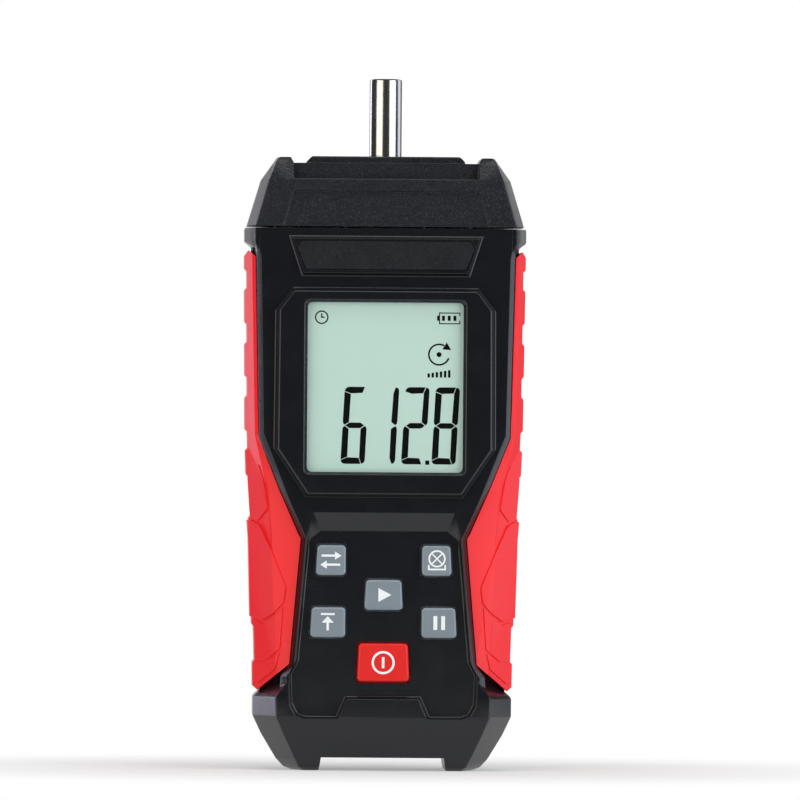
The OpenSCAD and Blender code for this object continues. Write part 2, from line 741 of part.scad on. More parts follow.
// Raised plate around the shaft
module nose_plate() {
    x = plate_share.x * hw;
    y = plate_share.y * hd;
    low_z = deck_z - deck_t / 2;
    slab([[-x, low_z], [x, low_z], [x, plate_z - plate_chamfer],
        [x - plate_chamfer, plate_z], [plate_chamfer - x, plate_z],
        [-x, plate_z - plate_chamfer]], -y, y);
}
module nose_cap() {
    inside_z = deck_z - deck_t / 2;
    color(dark) difference() {
        union() {
            nose_shell();
            nose_plate();
            rod_z(0, 0, housing_r, rear_race_z, inside_z);
            rod_z(0, 0, housing_flange_r, rear_race_z, rear_race_z + housing_flange_h);
            both_sides() rod_z(optic_x, 0, optic_r + optic_wall,
                optic_top_z - receiver_l, inside_z);
            at_nose_bosses() rod_z(0, 0, screw_d / 2 + boss_wall, case_h + fit_gap,
                inside_z);
        }
        rod_z(0, 0, bearing_d / 2 + press_gap, rear_race_z - over,
            front_race_z + bearing_w + fit_gap);
        rod_z(0, 0, shaft_r + collar_w + shaft_clear, front_race_z,
            front_race_z + bearing_w + collar_h + shaft_clear);
        rod_z(0, 0, shaft_r + shaft_clear, front_race_z, plate_z + over);
        both_sides() {
            rod_z(optic_x, 0, optic_r + fit_gap, case_h, optic_top_z + fit_gap);
            rod_z(optic_x, 0, optic_sight_r, case_h, plate_z + over);
            rod_z(optic_x, 0, optic_r + fit_gap, plate_z - optic_window_t - fit_gap,
                plate_z + over);
        }
        at_nose_bosses() rod_z(0, 0, screw_d / 2 + fit_gap, case_h,
            case_h - wall + nose_screw_l + fit_gap);
        at_retainer_screws() rod_z(0, 0, small_screw_d / 2 + fit_gap, rear_race_z - over,
            rear_race_z + housing_flange_h + over);
    }
}
module at_retainer_screws() {
    for (a = [30, 150, 270]) rotate([0, 0, a]) translate([retainer_screw_r, 0, 0]) children();
}

module right_grip() {
    color(red) difference() {
        intersection() {
            envelope(0);
            grip_zone(fit_gap);
        }
        envelope(grip_t);
        for (s = notch_shares) side_cut(s, notch_depth);
        for (s = band_shares) side_cut(s, band_depth);
    }
}
module left_grip() { mirror([1, 0, 0]) right_grip(); }
function side_x(share) = hw * lookup(share, [for (s = envelope_shares) [s[0], s[3]]]);
// Cut of the given depth into the side of the grip, between two shares of case_h
module side_cut(s, depth) {
    x0 = side_x(s[0]) - depth;
    x1 = side_x(s[1]) - depth;
    z0 = s[0] * case_h;
    z1 = s[1] * case_h;
    slab([[x0, z0 + notch_ramp], [x0 + over, z0 - notch_ramp], [case_w, z0 - notch_ramp],
        [case_w, z1 + notch_ramp], [x1 + over, z1 + notch_ramp], [x1, z1 - notch_ramp]],
        -case_d, case_d);
}

module display_window() {
    color("#cfe6dd", 0.5) slab(around_view(window_edge), window_y, window_y + window_t);
}
module display_glass() {
    color("#b8d4cb") slab(around_view(glass_edge), glass_y, glass_back_y);
}
module display_backlight() {
    half_h = glass_h / 2 - connector_h - fit_gap;
    color("white") slab(box_outline(view_w, view_mid_z - half_h, view_mid_z + half_h),
        glass_back_y + fit_gap, board_y - fit_gap);
}
module display_connectors() {
    color("#d98a8a") for (side = [-1, 1]) {
        z = view_mid_z + side * (glass_h - connector_h) / 2;
        slab(box_outline(view_w, z - connector_h / 2, z + connector_h / 2), glass_back_y,
            board_y);
    }
}
module main_board() {
    color(green) difference() {
        slab(mirrored(concat(scaled(board_foot_shares), [for (s = board_side_shares)
            [board_screw_x + board_edge, s * case_h]])), board_y, board_back_y);
        at_board_bosses() rod_y(0, 0, small_screw_d / 2 + fit_gap, board_y - over,
            board_back_y + over);
    }
}
module chip(x, z, w, h, t) {
    block(x - w / 2, x + w / 2, board_back_y, board_back_y + t, z - h / 2, z + h / 2);
}
module board_chips() {
    color("#17181a") {
        chip(0, controller_share * case_h, chip_w, chip_w, chip_t);
        chip(-chip_w, driver_share * case_h, driver_w, driver_w, chip_t);
        chip(0, socket_share * case_h, socket_w, socket_h, socket_t);
    }
    color(steel) rod_x(board_back_y + crystal_r, controller_share * case_h, crystal_r,
        chip_w, chip_w + crystal_l);
}
module keypad_mat() {
    color("#9aa3a8") slab(mirrored(scaled(mat_shares)), mat_y, board_y - fit_gap / 2);
}
module unit_key() { mirror([1, 0, 0]) key_solid(upper_outline, grey); }
module light_key() { key_solid(upper_outline, grey); }
module test_key() { key_solid(test_outline, grey); }
module max_key() { mirror([1, 0, 0]) key_solid(lower_outline, grey); }
module hold_key() { key_solid(lower_outline, grey); }
module power_key() { key_solid(power_outline, red); }

module drive_shaft() {
    tip_z = shaft_top_z - collar_h / 2;
    collar_z = front_race_z + bearing_w + fit_gap / 2;
    color(steel) {
        rod_z(0, 0, shaft_r, shaft_end_z, collar_z + collar_h / 2);
        rod_z(0, 0, shaft_r + collar_w, collar_z, collar_z + collar_h);
        rod_z(0, 0, shaft_r - neck_drop, collar_z + collar_h / 2, plate_z + collar_h / 2);
        rod_z(0, 0, shaft_r, plate_z, tip_z);
        translate([0, 0, tip_z])
            cylinder(r1 = shaft_r, r2 = shaft_r - collar_h / 2, h = collar_h / 2);
    }
}
// Race of a bearing between two radii, with the groove that the balls run in
module race(r_in, r_out, z) {
    color(steel) translate([0, 0, z]) rotate_extrude() difference() {
        translate([r_in, 0]) square([r_out - r_in, bearing_w]);
        translate([ball_path_r, bearing_w / 2]) circle(r = ball_r + spin_gap);
    }
}
module outer_race(z) { race(bearing_d / 2 - race_t, bearing_d / 2, z); }
module inner_race(z) { race(shaft_r + press_gap, shaft_r + race_t, z); }
module balls(z) {
    mid_z = z + bearing_w / 2;
    gap = 2 * spin_gap;
    color(steel) {
        for (i = [0:ball_count - 1]) rotate([0, 0, i * 360 / ball_count])
            translate([ball_path_r, 0, mid_z]) sphere(r = ball_r);
        tube_z(bearing_d / 2 - race_t - gap, shaft_r + race_t + gap,
            mid_z - ball_r / 2 - cage_h, mid_z - ball_r / 2);
    }
}
module front_bearing_outer_race() { outer_race(front_race_z); }
module front_bearing_inner_race() { inner_race(front_race_z); }
module front_bearing_balls() { balls(front_race_z); }
module rear_bearing_outer_race() { outer_race(rear_race_z); }
module rear_bearing_inner_race() { inner_race(rear_race_z); }
module rear_bearing_balls() { balls(rear_race_z); }
module race_spacer() {
    color(steel) tube_z(shaft_r + sleeve_t, shaft_r + press_gap, rear_race_z + bearing_w,
        front_race_z);
}
module race_sleeve() {
    color(steel) tube_z(bearing_d / 2, bearing_d / 2 - sleeve_t, rear_race_z + bearing_w,
        front_race_z);
}
module bearing_retainer() {
    top_z = rear_race_z - fit_gap / 2;
    color("#8d9094") difference() {
        tube_z(housing_flange_r, hub_r + 3 * door_gap, top_z - retainer_t, top_z);
        at_retainer_screws() rod_z(0, 0, small_screw_d / 2 + fit_gap,
            rear_race_z - retainer_t - over, rear_race_z + over);
    }
}
module retainer_screws() {
    color(steel) at_retainer_screws() translate([0, 0, rear_race_z - retainer_t - fit_gap])
        screw(small_screw_d, retainer_t + housing_flange_h);
}
module slotted_disc() {
    color("#3a3d42") difference() {
        union() {
            rod_z(0, 0, disc_d / 2, disc_z, hub_z);
            rod_z(0, 0, hub_r, disc_z, hub_z + hub_h);
        }
        rod_z(0, 0, shaft_r + press_gap, disc_z - over, hub_z + hub_h + over);
        for (i = [0:disc_slots - 1]) rotate([0, 0, i * 360 / disc_slots])
            translate([disc_d / 2 - slot_edge - slot_l, -slot_w / 2, disc_z - over])
                cube([slot_l, slot_w, disc_t + 2 * over]);
        rod_x(0, hub_z + hub_h / 2, small_screw_d / 2 + press_gap, shaft_r / 2, hub_r + over);
    }
}
module disc_set_screw() {
    color(steel) rod_x(0, hub_z + hub_h / 2, small_screw_d / 2, shaft_r + spin_gap,
        hub_r - spin_gap);
}
module light_barrier() {
    mid_z = disc_z + disc_t / 2;
    low = mid_z - disc_t / 2 - barrier_gap;
    high = mid_z + disc_t / 2 + barrier_gap;
    inner_y = barrier_y - barrier_reach;
    back_y = sensor_board_y;
    color("#131416") bar([[inner_y, low - barrier_arm], [back_y, low - barrier_arm],
        [back_y, high + barrier_arm], [inner_y, high + barrier_arm], [inner_y, high],
        [barrier_y, high], [barrier_y, low], [inner_y, low]], -barrier_w / 2, barrier_w / 2);
}
module sensor_board() {
    back_y = sensor_board_y + sensor_board_t;
    color(green) difference() {
        block(-sensor_board_w / 2, sensor_board_w / 2, sensor_board_y, back_y,
            sensor_board_z, sensor_board_z + sensor_board_h);
        at_sensor_bosses() rod_y(0, 0, small_screw_d / 2 + fit_gap, sensor_board_y - over,
            back_y + over);
    }
}
module sensor_board_screws() {
    color(steel) at_sensor_bosses()
        screw_y(0, sensor_board_y, 0, small_screw_d, cavity_back_y - sensor_board_y - fit_gap,
            false);
}
module sensor_ribbon() {
    steps = 10;
    start = [board_back_y + socket_t, socket_share * case_h];
    end = [sensor_board_y, sensor_board_z + socket_h / 2];
    path = [for (i = [0:steps]) let (u = i / steps)
        start + (end - start) * u - [0, 4 * u * (1 - u) * ribbon_sag_share * case_h]];
    color("#b5b9bd") bar(concat(path, [for (i = [steps:-1:0]) path[i] + [0, ribbon_t]]),
        -ribbon_w / 2, ribbon_w / 2);
}
module laser_module() {
    color("#a88c4a") rod_z(-optic_x, 0, optic_r, optic_top_z - laser_l, optic_top_z);
}
module light_receiver() {
    color("#2b2d31") rod_z(optic_x, 0, optic_r, optic_top_z - receiver_l, optic_top_z);
}
module optic_window(side) {
    color("#5a1418") rod_z(side * optic_x, 0, optic_r, plate_z - optic_window_t, plate_z);
}
module laser_window() { optic_window(-1); }
module receiver_window() { optic_window(1); }

module battery_door() {
    color(black) difference() {
        union() {
            block(-door_w / 2, door_w / 2, door_axis_y, hd, door_axis_z, door_top_z);
            rod_x(door_axis_y, door_axis_z, door_t, -door_w / 2, door_w / 2);
            rod_x(door_axis_y, door_axis_z, door_pin_r, -door_w / 2 - door_pin_l,
                door_w / 2 + door_pin_l);
        }
        rod_y(0, door_screw_z, door_screw_d / 2 + fit_gap / 2, door_axis_y - over,
            hd + over);
        rod_y(0, door_screw_z, head_share * door_screw_d + fit_gap, hd - door_t / 2,
            hd + over);
    }
}
module door_screw() {
    color(steel) intersection() {
        screw_y(0, hd - door_t / 2, door_screw_z, door_screw_d, door_t / 2 + door_screw_l);
        layer(-case_d, hd, 0, case_h);
    }
}
// One cell of the row, counted from the left; the middle one stands on its head
module cell(i) {
    base_z = well_z + contact_t + spring_l;
    color("#c9a23c") translate([(i - 1) * (cell_d + cell_gap), cell_y,
        i == 1 ? well_top_z - contact_t - spring_l : base_z]) mirror([0, 0, i % 2]) {
            cylinder(d = cell_d, h = cell_l - button_l);
            cylinder(r = button_share * cell_d, h = cell_l);
        }
}
module left_cell() { cell(0); }
module middle_cell() { cell(1); }
module right_cell() { cell(2); }
// Round wire wound upwards, each ring of its skin lying across the wire
module spring(r, wire_r, h, turns) {
    steps = turns * 12;
    rise = h - 2 * wire_r;
    skin([for (i = [0:steps]) let (a = 360 * turns * i / steps, z = wire_r + rise * i / steps)
        [for (k = [0:5]) let (b = -60 * k)
            [(r + wire_r * cos(b)) * cos(a), (r + wire_r * cos(b)) * sin(a),
                z + wire_r * sin(b)]]]);
}
module battery_springs() {
    color(steel) for (i = [0:cell_count - 1]) translate([(i - 1) * (cell_d + cell_gap), cell_y,
        i == 1 ? well_top_z - contact_t : well_z + contact_t])
            mirror([0, 0, i % 2]) spring(spring_r, spring_wire_r, spring_l, spring_turns);
}
module battery_contacts() {
    half = cell_d / 3;
    color(steel) for (i = [-1:1], z = [well_z, well_top_z - contact_t])
        translate([i * (cell_d + cell_gap), cell_y, z])
            block(-half, half, -half, half, 0, contact_t);
}

module case_screws() {
    color(steel) at_case_bosses()
        screw_y(0, cavity_back_y - wall, 0, screw_d, case_screw_l);
}
module nose_screws() {
    color(steel) at_nose_bosses() translate([0, 0, case_h - wall]) screw(screw_d, nose_screw_l);
}
module main_board_screws() {
    color(steel) at_board_bosses()
        screw_y(0, board_back_y, 0, small_screw_d, board_screw_l);
}

front_case();
rear_case();
nose_cap();
left_grip();
right_grip();
display_window();
display_glass();
display_backlight();
display_connectors();
main_board();
board_chips();
keypad_mat();
unit_key();
light_key();
test_key();
max_key();
hold_key();
power_key();
drive_shaft();
front_bearing_outer_race();
front_bearing_inner_race();
front_bearing_balls();
rear_bearing_outer_race();
rear_bearing_inner_race();
rear_bearing_balls();
race_spacer();
race_sleeve();
bearing_retainer();
retainer_screws();
slotted_disc();
disc_set_screw();
light_barrier();
sensor_board();
sensor_board_screws();
sensor_ribbon();
laser_module();
light_receiver();
laser_window();
receiver_window();
battery_door();
door_screw();
left_cell();
middle_cell();
right_cell();
battery_springs();
battery_contacts();
case_screws();
nose_screws();
main_board_screws();
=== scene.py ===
import json
import math

import bmesh
import bpy
from bpy.props import FloatProperty, FloatVectorProperty, IntProperty, StringProperty
from mathutils import Matrix, Vector
from mathutils.bvhtree import BVHTree
from mathutils.kdtree import KDTree

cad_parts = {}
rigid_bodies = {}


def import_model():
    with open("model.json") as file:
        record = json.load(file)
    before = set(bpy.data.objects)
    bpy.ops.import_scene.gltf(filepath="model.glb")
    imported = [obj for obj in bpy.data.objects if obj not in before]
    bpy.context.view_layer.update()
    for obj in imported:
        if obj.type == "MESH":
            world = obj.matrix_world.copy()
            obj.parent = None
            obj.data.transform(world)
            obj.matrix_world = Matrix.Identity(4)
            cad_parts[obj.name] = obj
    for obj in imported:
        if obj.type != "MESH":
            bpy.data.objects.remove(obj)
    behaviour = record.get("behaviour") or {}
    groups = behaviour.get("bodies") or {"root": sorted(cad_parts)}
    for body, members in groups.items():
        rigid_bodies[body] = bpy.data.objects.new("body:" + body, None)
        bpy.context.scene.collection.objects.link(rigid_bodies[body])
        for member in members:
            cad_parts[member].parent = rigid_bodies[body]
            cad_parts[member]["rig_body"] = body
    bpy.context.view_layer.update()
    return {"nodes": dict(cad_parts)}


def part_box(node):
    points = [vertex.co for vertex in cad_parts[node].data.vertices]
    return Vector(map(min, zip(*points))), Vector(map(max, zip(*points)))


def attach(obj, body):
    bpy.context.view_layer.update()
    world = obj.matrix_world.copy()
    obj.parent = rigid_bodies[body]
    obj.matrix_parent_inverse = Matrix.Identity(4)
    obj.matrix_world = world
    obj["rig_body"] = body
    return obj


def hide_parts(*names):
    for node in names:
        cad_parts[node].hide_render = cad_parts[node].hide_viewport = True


bl_info = {
    "name": "Contact tachometer looks",
    "version": (1, 0, 0),
    "blender": (4, 5, 0),
    "location": "3D View > Sidebar > Tachometer",
    "description": "Dresses the contact tachometer: shells, grips, keys, display, studio",
    "category": "Object",
}

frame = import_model()
MM = 0.001
WELD = 0.002 * MM     # vertices closer than this are one
AFLOAT = 0.05 * MM    # a ray starts this far off the surface that it leaves


def linear(hex_colour):
    """An sRGB hex colour as the linear values that a shader works with."""
    parts = [int(hex_colour[i:i + 2], 16) / 255 for i in (1, 3, 5)]
    return [c / 12.92 if c <= 0.04045 else ((c + 0.055) / 1.055) ** 2.4 for c in parts]


# ---- Values that a user would change ----

def colour_property(label, words, hex_colour):
    return FloatVectorProperty(name=label, description=words, subtype="COLOR", size=3,
                               min=0, max=1, default=linear(hex_colour))


def length_property(label, words, mm, top=20.0):
    return FloatProperty(name=label, description=words, default=mm * MM, min=0,
                         max=top * MM, unit="LENGTH", subtype="DISTANCE")


class TachometerColours(bpy.types.PropertyGroup):
    case: colour_property("Case", "Moulded shells of the case", "#101217")
    nose: colour_property("Nose", "Grained nose cap and brow inlay", "#13151B")
    grip: colour_property("Grips", "Soft rubber side grips", "#F51720")
    key: colour_property("Keys", "Grey rubber keys", "#7E8A92")
    power: colour_property("Power key", "Red rubber key", "#E2231F")
    legend: colour_property("Key legends", "Printed symbols on the keys", "#EDF2F4")
    display: colour_property("Display", "Pale green ground of the display", "#B6D2C8")


class TachometerSizes(bpy.types.PropertyGroup):
    shell_edge: length_property("Shell edges", "Rounding of the moulded edges", 0.38)
    grip_edge: length_property("Grip edges", "Rounding of the soft grips' edges", 0.34)
    key_edge: length_property("Key edges", "Rounding of the keys' edges", 0.6)
    key_corner: length_property("Key corners", "Radius of the keys' corners", 0.95)
    legend_rise: length_property("Legend thickness", "Ink above the key's face", 0.03)
    digit_height: length_property("Digit height", "Height of the large digits", 18.8, 30)
    digit_width: length_property("Digit width", "Width of one large digit", 5.9, 20)
    digit_pitch: length_property("Digit pitch", "Distance from digit to digit", 7.4, 20)
    rib_rise: length_property("Rib height", "Door ribs above the door's face", 0.2, 2)
    reading: StringProperty(name="Reading", description="Plain number on the display",
                            default="612.8")


class TachometerStudio(bpy.types.PropertyGroup):
    distance: FloatProperty(name="Camera distance", description="From lens to front face",
                            default=3.6, min=0.3, max=9, unit="LENGTH")
    pixels_per_mm: FloatProperty(name="Pixels per millimetre", default=4.1, min=0.5, max=20,
                                 description="Scale of the front face in an 800 pixel image")
    yaw: FloatProperty(name="Camera yaw", description="Turn of the camera to the left side",
                       default=math.radians(1.3), subtype="ANGLE")
    roll: FloatProperty(name="Camera roll", description="Tilt of the camera about its view",
                        default=math.radians(0.43), subtype="ANGLE")
    lamp_level: FloatProperty(name="Lamp level", description="Strength of all the lamps",
                              default=1.0, min=0, max=5)
    ambient: FloatProperty(name="Ambient level", description="Strength of the room's light",
                           default=0.2, min=0, max=2)
    mirrored: FloatProperty(name="Mirrored room", default=0.05, min=0, max=2,
                            description="Brightness of the room in polished surfaces")
    seed: IntProperty(name="Seed", description="Seed of the turn of each screw", default=7)


# ---- Mesh helpers ----

def opened(mesh):
    """An editable copy of a mesh."""
    bm = bmesh.new()
    bm.from_mesh(mesh)
    return bm


def placed(name, data):
    """A new object at the origin."""
    made = bpy.data.objects.new(name, data)
    bpy.context.scene.collection.objects.link(made)
    return made


def finished(name, bm, smooth=None, turn_out=True):
    """A new object with this mesh, its faces outwards."""
    if turn_out:
        bmesh.ops.recalc_face_normals(bm, faces=bm.faces)
    mesh = bpy.data.meshes.new(name)
    bm.to_mesh(mesh)
    bm.free()
    if smooth is not None:
        mesh.shade_smooth()
        mesh.set_sharp_from_angle(angle=math.radians(smooth))
    return placed(name, mesh)


def even_shading(piece, angle=38.0, strip=0.0):
    """Flat faces shade flat, rounded edges shade smooth, edges left sharp stay sharp. Faces
    thinner than the strip's width count as part of a rounding."""
    flat_angle = 6
    piece.data.shade_smooth()
    bm = opened(piece.data)
    broad = {f.index: 2 * f.calc_area() / max(f.calc_perimeter(), 1e-9) > strip
             for f in bm.faces}
    for edge in bm.edges:
        turn = math.degrees(edge.calc_face_angle(0)) if len(edge.link_faces) == 2 else 180
        flat = strip and all(broad[f.index] for f in edge.link_faces)
        edge.smooth = turn < (flat_angle if flat else angle)
    bm.to_mesh(piece.data)
    bm.free()
    even = piece.modifiers.new("flat_faces", "WEIGHTED_NORMAL")
    even.weight = 100
    even.keep_sharp = True
    return settle(piece)


def settle(piece):
    """Turns an object's modifiers into its plain mesh."""
    shape = bpy.data.meshes.new_from_object(
        piece.evaluated_get(bpy.context.evaluated_depsgraph_get()))
    piece.modifiers.clear()
    piece.data = shape
    return piece


def dress(piece, body, slot, finish, *nodes):
    """Gives a piece its finish, its body and the nodes that it stands for. The slot is not
    used.
    """
    piece.data.materials.clear()
    piece.data.materials.append(FINISH[finish])
    for face in piece.data.polygons:
        face.material_index = 0
    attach(piece, body)
    if nodes:
        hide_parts(*nodes)


def body_of(node):
    return frame["nodes"][node]["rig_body"]


def slab(bm, outline, y_front, y_back):
    """Solid between two depths with this outline, points as (x, z) in millimetres."""
    rows = [[bm.verts.new((x * MM, y * MM, z * MM)) for x, z in outline]
            for y in (y_front, y_back)]
    bm.faces.new(rows[0])
    bm.faces.new(rows[1][::-1])
    for i in range(len(outline)):
        j = (i + 1) % len(outline)
        bm.faces.new([rows[0][j], rows[0][i], rows[1][i], rows[1][j]])


def mitre(before, point, after):
    """From a corner to the corner of a parallel line that runs 1 mm to its left."""
    n1, n2 = (Vector((-way.y, way.x)).normalized() for way in (point - before, after - point))
    return (n1 + n2) / (1 + n1.dot(n2))


def stroke(bm, line, width, y_front, y_back, closed=False):
    """Solid band of even width along a line of (x, z) points in millimetres."""
    points = [Vector(p) for p in line]
    n = len(points)
    sides = []
    for i, p in enumerate(points):
        before = points[i - 1] if closed or i else p * 2 - points[1]
        after = points[(i + 1) % n] if closed or i < n - 1 else p * 2 - points[-2]
        push = mitre(before, p, after) * width / 2
        sides.append((p + push, p - push))
    rings = [[bm.verts.new((q.x * MM, y * MM, q.y * MM))
              for q, y in ((a, y_front), (b, y_front), (b, y_back), (a, y_back))]
             for a, b in sides]
    for i in range(n if closed else n - 1):
        a, b = rings[i], rings[(i + 1) % n]
        for k in range(4):
            bm.faces.new([a[k], a[(k + 1) % 4], b[(k + 1) % 4], b[k]])
    if not closed:
        bm.faces.new(rings[0][::-1])
        bm.faces.new(rings[-1])


class Ink:
    """Flat shapes of one thickness, drawn about a point of the front, in millimetres."""

    def __init__(self, x, z, y_front, y_back):
        self.bm = bmesh.new()
        self.x, self.z, self.depths = x, z, (y_front, y_back)

    def fill(self, outline):
        slab(self.bm, [(self.x + x, self.z + z) for x, z in outline], *self.depths)

    def box(self, x0, x1, z0, z1):
        self.fill([(x0, z0), (x1, z0), (x1, z1), (x0, z1)])

    def line(self, points, width, closed=False):
        stroke(self.bm, [(self.x + x, self.z + z) for x, z in points], width,
               *self.depths, closed)


def arc(cx, cz, r, a0=0.0, a1=360.0, steps=32):
    """Points on a circle from one angle to another, in degrees."""
    whole = abs(a1 - a0) >= 360
    count = steps if whole else steps + 1
    return [(cx + r * math.cos(math.radians(a0 + (a1 - a0) * k / steps)),
             cz + r * math.sin(math.radians(a0 + (a1 - a0) * k / steps)))
            for k in range(count)]


def lathe(bm, profile, steps=96, centre=(0.0, 0.0)):
    """Turned solid about an upright axis, profile as (radius, z) in millimetres."""
    rings = []
    for r, z in profile:
        angles = [2 * math.pi * k / steps for k in range(steps if r else 1)]
        rings.append([bm.verts.new(((centre[0] + r * math.cos(a)) * MM,
                                    (centre[1] + r * math.sin(a)) * MM, z * MM))
                      for a in angles])
    for low, high in zip(rings, rings[1:]):
        for k in range(steps):
            j = (k + 1) % steps
            corners = [low[k % len(low)], low[j % len(low)],
                       high[j % len(high)], high[k % len(high)]]
            bm.faces.new(list(dict.fromkeys(corners)))


def all_surfaces():
    """One search tree over every CAD node, to tell outer edges from hidden ones."""
    points, faces = [], []
    for node in frame["nodes"].values():
        base = len(points)
        points += [v.co.copy() for v in node.data.vertices]
        faces += [[base + i for i in f.vertices] for f in node.data.polygons]
    return BVHTree.FromPolygons(points, faces)


SURFACES = all_surfaces()


def merge_flat(bm):
    """Joins the faces that lie in one plane."""
    bmesh.ops.dissolve_limit(bm, angle_limit=math.radians(0.8), verts=bm.verts, edges=bm.edges)


def node_mesh(node):
    """A copy of a node's mesh, merged, with its flat faces whole."""
    bm = opened(frame["nodes"][node].data)
    bmesh.ops.remove_doubles(bm, verts=bm.verts, dist=WELD)
    merge_flat(bm)
    return bm


ROOM_SHARE = 0.42                  # of the free width beside an edge, for its rounding
SAME_PLANE = math.radians(2)       # faces that meet at less are one flat face
FOLDED = math.radians(150)         # faces that meet at more lie on each other


def in_sight(edge):
    """Does an edge look at open space, with no other piece before it?"""
    reach = 0.15
    outwards = edge.link_faces[0].normal + edge.link_faces[1].normal
    if outwards.length < 1e-3:
        return False
    outwards.normalize()
    middle = (edge.verts[0].co + edge.verts[1].co) / 2
    return SURFACES.ray_cast(middle + outwards * AFLOAT, outwards, reach)[0] is None


def room_beside(edge):
    """Free width beside an edge, from how far its ends can slide along their other edges."""
    room = edge.calc_length()
    for vert in edge.verts:
        along = (edge.other_vert(vert).co - vert.co).normalized()
        for other in vert.link_edges:
            if other is edge:
                continue
            turn = (other.other_vert(vert).co - vert.co).normalized().dot(along)
            slide = other.calc_length() * math.sqrt(max(0.0, 1 - turn * turn))
            # An edge that goes nearly straight on limits it only within a flat face
            if turn > -0.87:
                room = min(room, slide)
            elif other.calc_face_angle(0) < SAME_PLANE:
                room = min(room, slide * 2)
    return room


def rounded(bm, name, radius, least_angle=18.0, hollows=False):
    """This mesh with its visible edges rounded, each as far as its surroundings allow.
    With hollows, inner corners get a fillet too."""
    bmesh.ops.triangulate(bm, faces=[f for f in bm.faces if len(f.verts) > 4],
                          quad_method="BEAUTY", ngon_method="BEAUTY")
    bm.normal_update()
    weight = bm.edges.layers.float.new("bevel_weight_edge")
    for edge in bm.edges:
        if (len(edge.link_faces) == 2 and (edge.is_convex or hollows)
                and edge.calc_face_angle(0) >= math.radians(least_angle) and in_sight(edge)):
            edge[weight] = max(0.0, min(1.0, ROOM_SHARE * room_beside(edge) / radius))
    # Where a rounding folds a face over, the edges near it get half of it, and then none
    tries, nearby, least = 8, 1.3 * radius, 0.2
    for attempt in range(tries):
        piece = finished(name, bm.copy(), turn_out=False)
        bevel = piece.modifiers.new("edges", "BEVEL")
        bevel.limit_method = "WEIGHT"
        bevel.width = radius
        bevel.segments = 3
        bevel.use_clamp_overlap = False
        folds = folded_corners(settle(piece))
        if not folds or attempt == tries - 1:
            break
        near = KDTree(len(folds))
        for i, corner in enumerate(folds):
            near.insert(corner, i)
        near.balance()
        for edge in bm.edges:
            if edge[weight] and min(near.find(v.co)[2] for v in edge.verts) < nearby:
                edge[weight] = edge[weight] * 0.5 if edge[weight] > least else 0.0
        bpy.data.objects.remove(piece)
    bm.free()
    return even_shading(flattened(piece), strip=0.75 * radius)


def folded_corners(piece):
    """Ends of the edges at which a face lies folded back over its neighbour."""
    bm = opened(piece.data)
    found = [v.co.copy() for e in bm.edges for v in e.verts
             if len(e.link_faces) == 2 and e.calc_face_angle(0) > FOLDED]
    bm.free()
    return found


def flattened(piece):
    """Brings the corners of each broad face back into its plane, up to a few hundredths."""
    least_area, most = 8.0 * MM * MM, 0.06 * MM
    bm = opened(piece.data)
    broad = sorted((f for f in bm.faces if f.calc_area() > least_area),
                   key=lambda f: f.calc_area())
    for face in broad:
        corners = [v.co for v in face.verts]
        middle = sum(corners, Vector()) / len(corners)
        shift = [(middle - v.co).dot(face.normal) for v in face.verts]
        typical = sorted(shift)[len(shift) // 2]
        for vert, gap in zip(face.verts, shift):
            if 1e-7 < abs(gap - typical) < most:
                vert.co += face.normal * (gap - typical)
    bm.to_mesh(piece.data)
    bm.free()
    return piece


# ---- Materials ----

def add(tree, kind, inputs=None, **settings):
    """Adds a node, sets its options, and links or fills its inputs. A node that is given
    as an input stands for its first output."""
    made = tree.nodes.new(kind)
    for key, value in settings.items():
        setattr(made, key, value)
    for key, value in (inputs or {}).items():
        sources = [v.outputs[0] if isinstance(v, bpy.types.Node) else v
                   for v in (value if isinstance(value, list) else [value])]
        if isinstance(sources[0], bpy.types.NodeSocket):
            for source in sources:
                tree.links.new(source, made.inputs[key])
        else:
            made.inputs[key].default_value = value
    return made


def calc(tree, operation, *values):
    """One step of arithmetic."""
    return add(tree, "ShaderNodeMath", dict(enumerate(values)), operation=operation)


def shaded(colour, factor):
    return [min(1.0, c * factor) for c in colour[:3]] + [1.0]


def new_tree(name):
    material = bpy.data.materials.new(name)
    material.use_nodes = True
    material.node_tree.nodes.clear()
    return material, material.node_tree


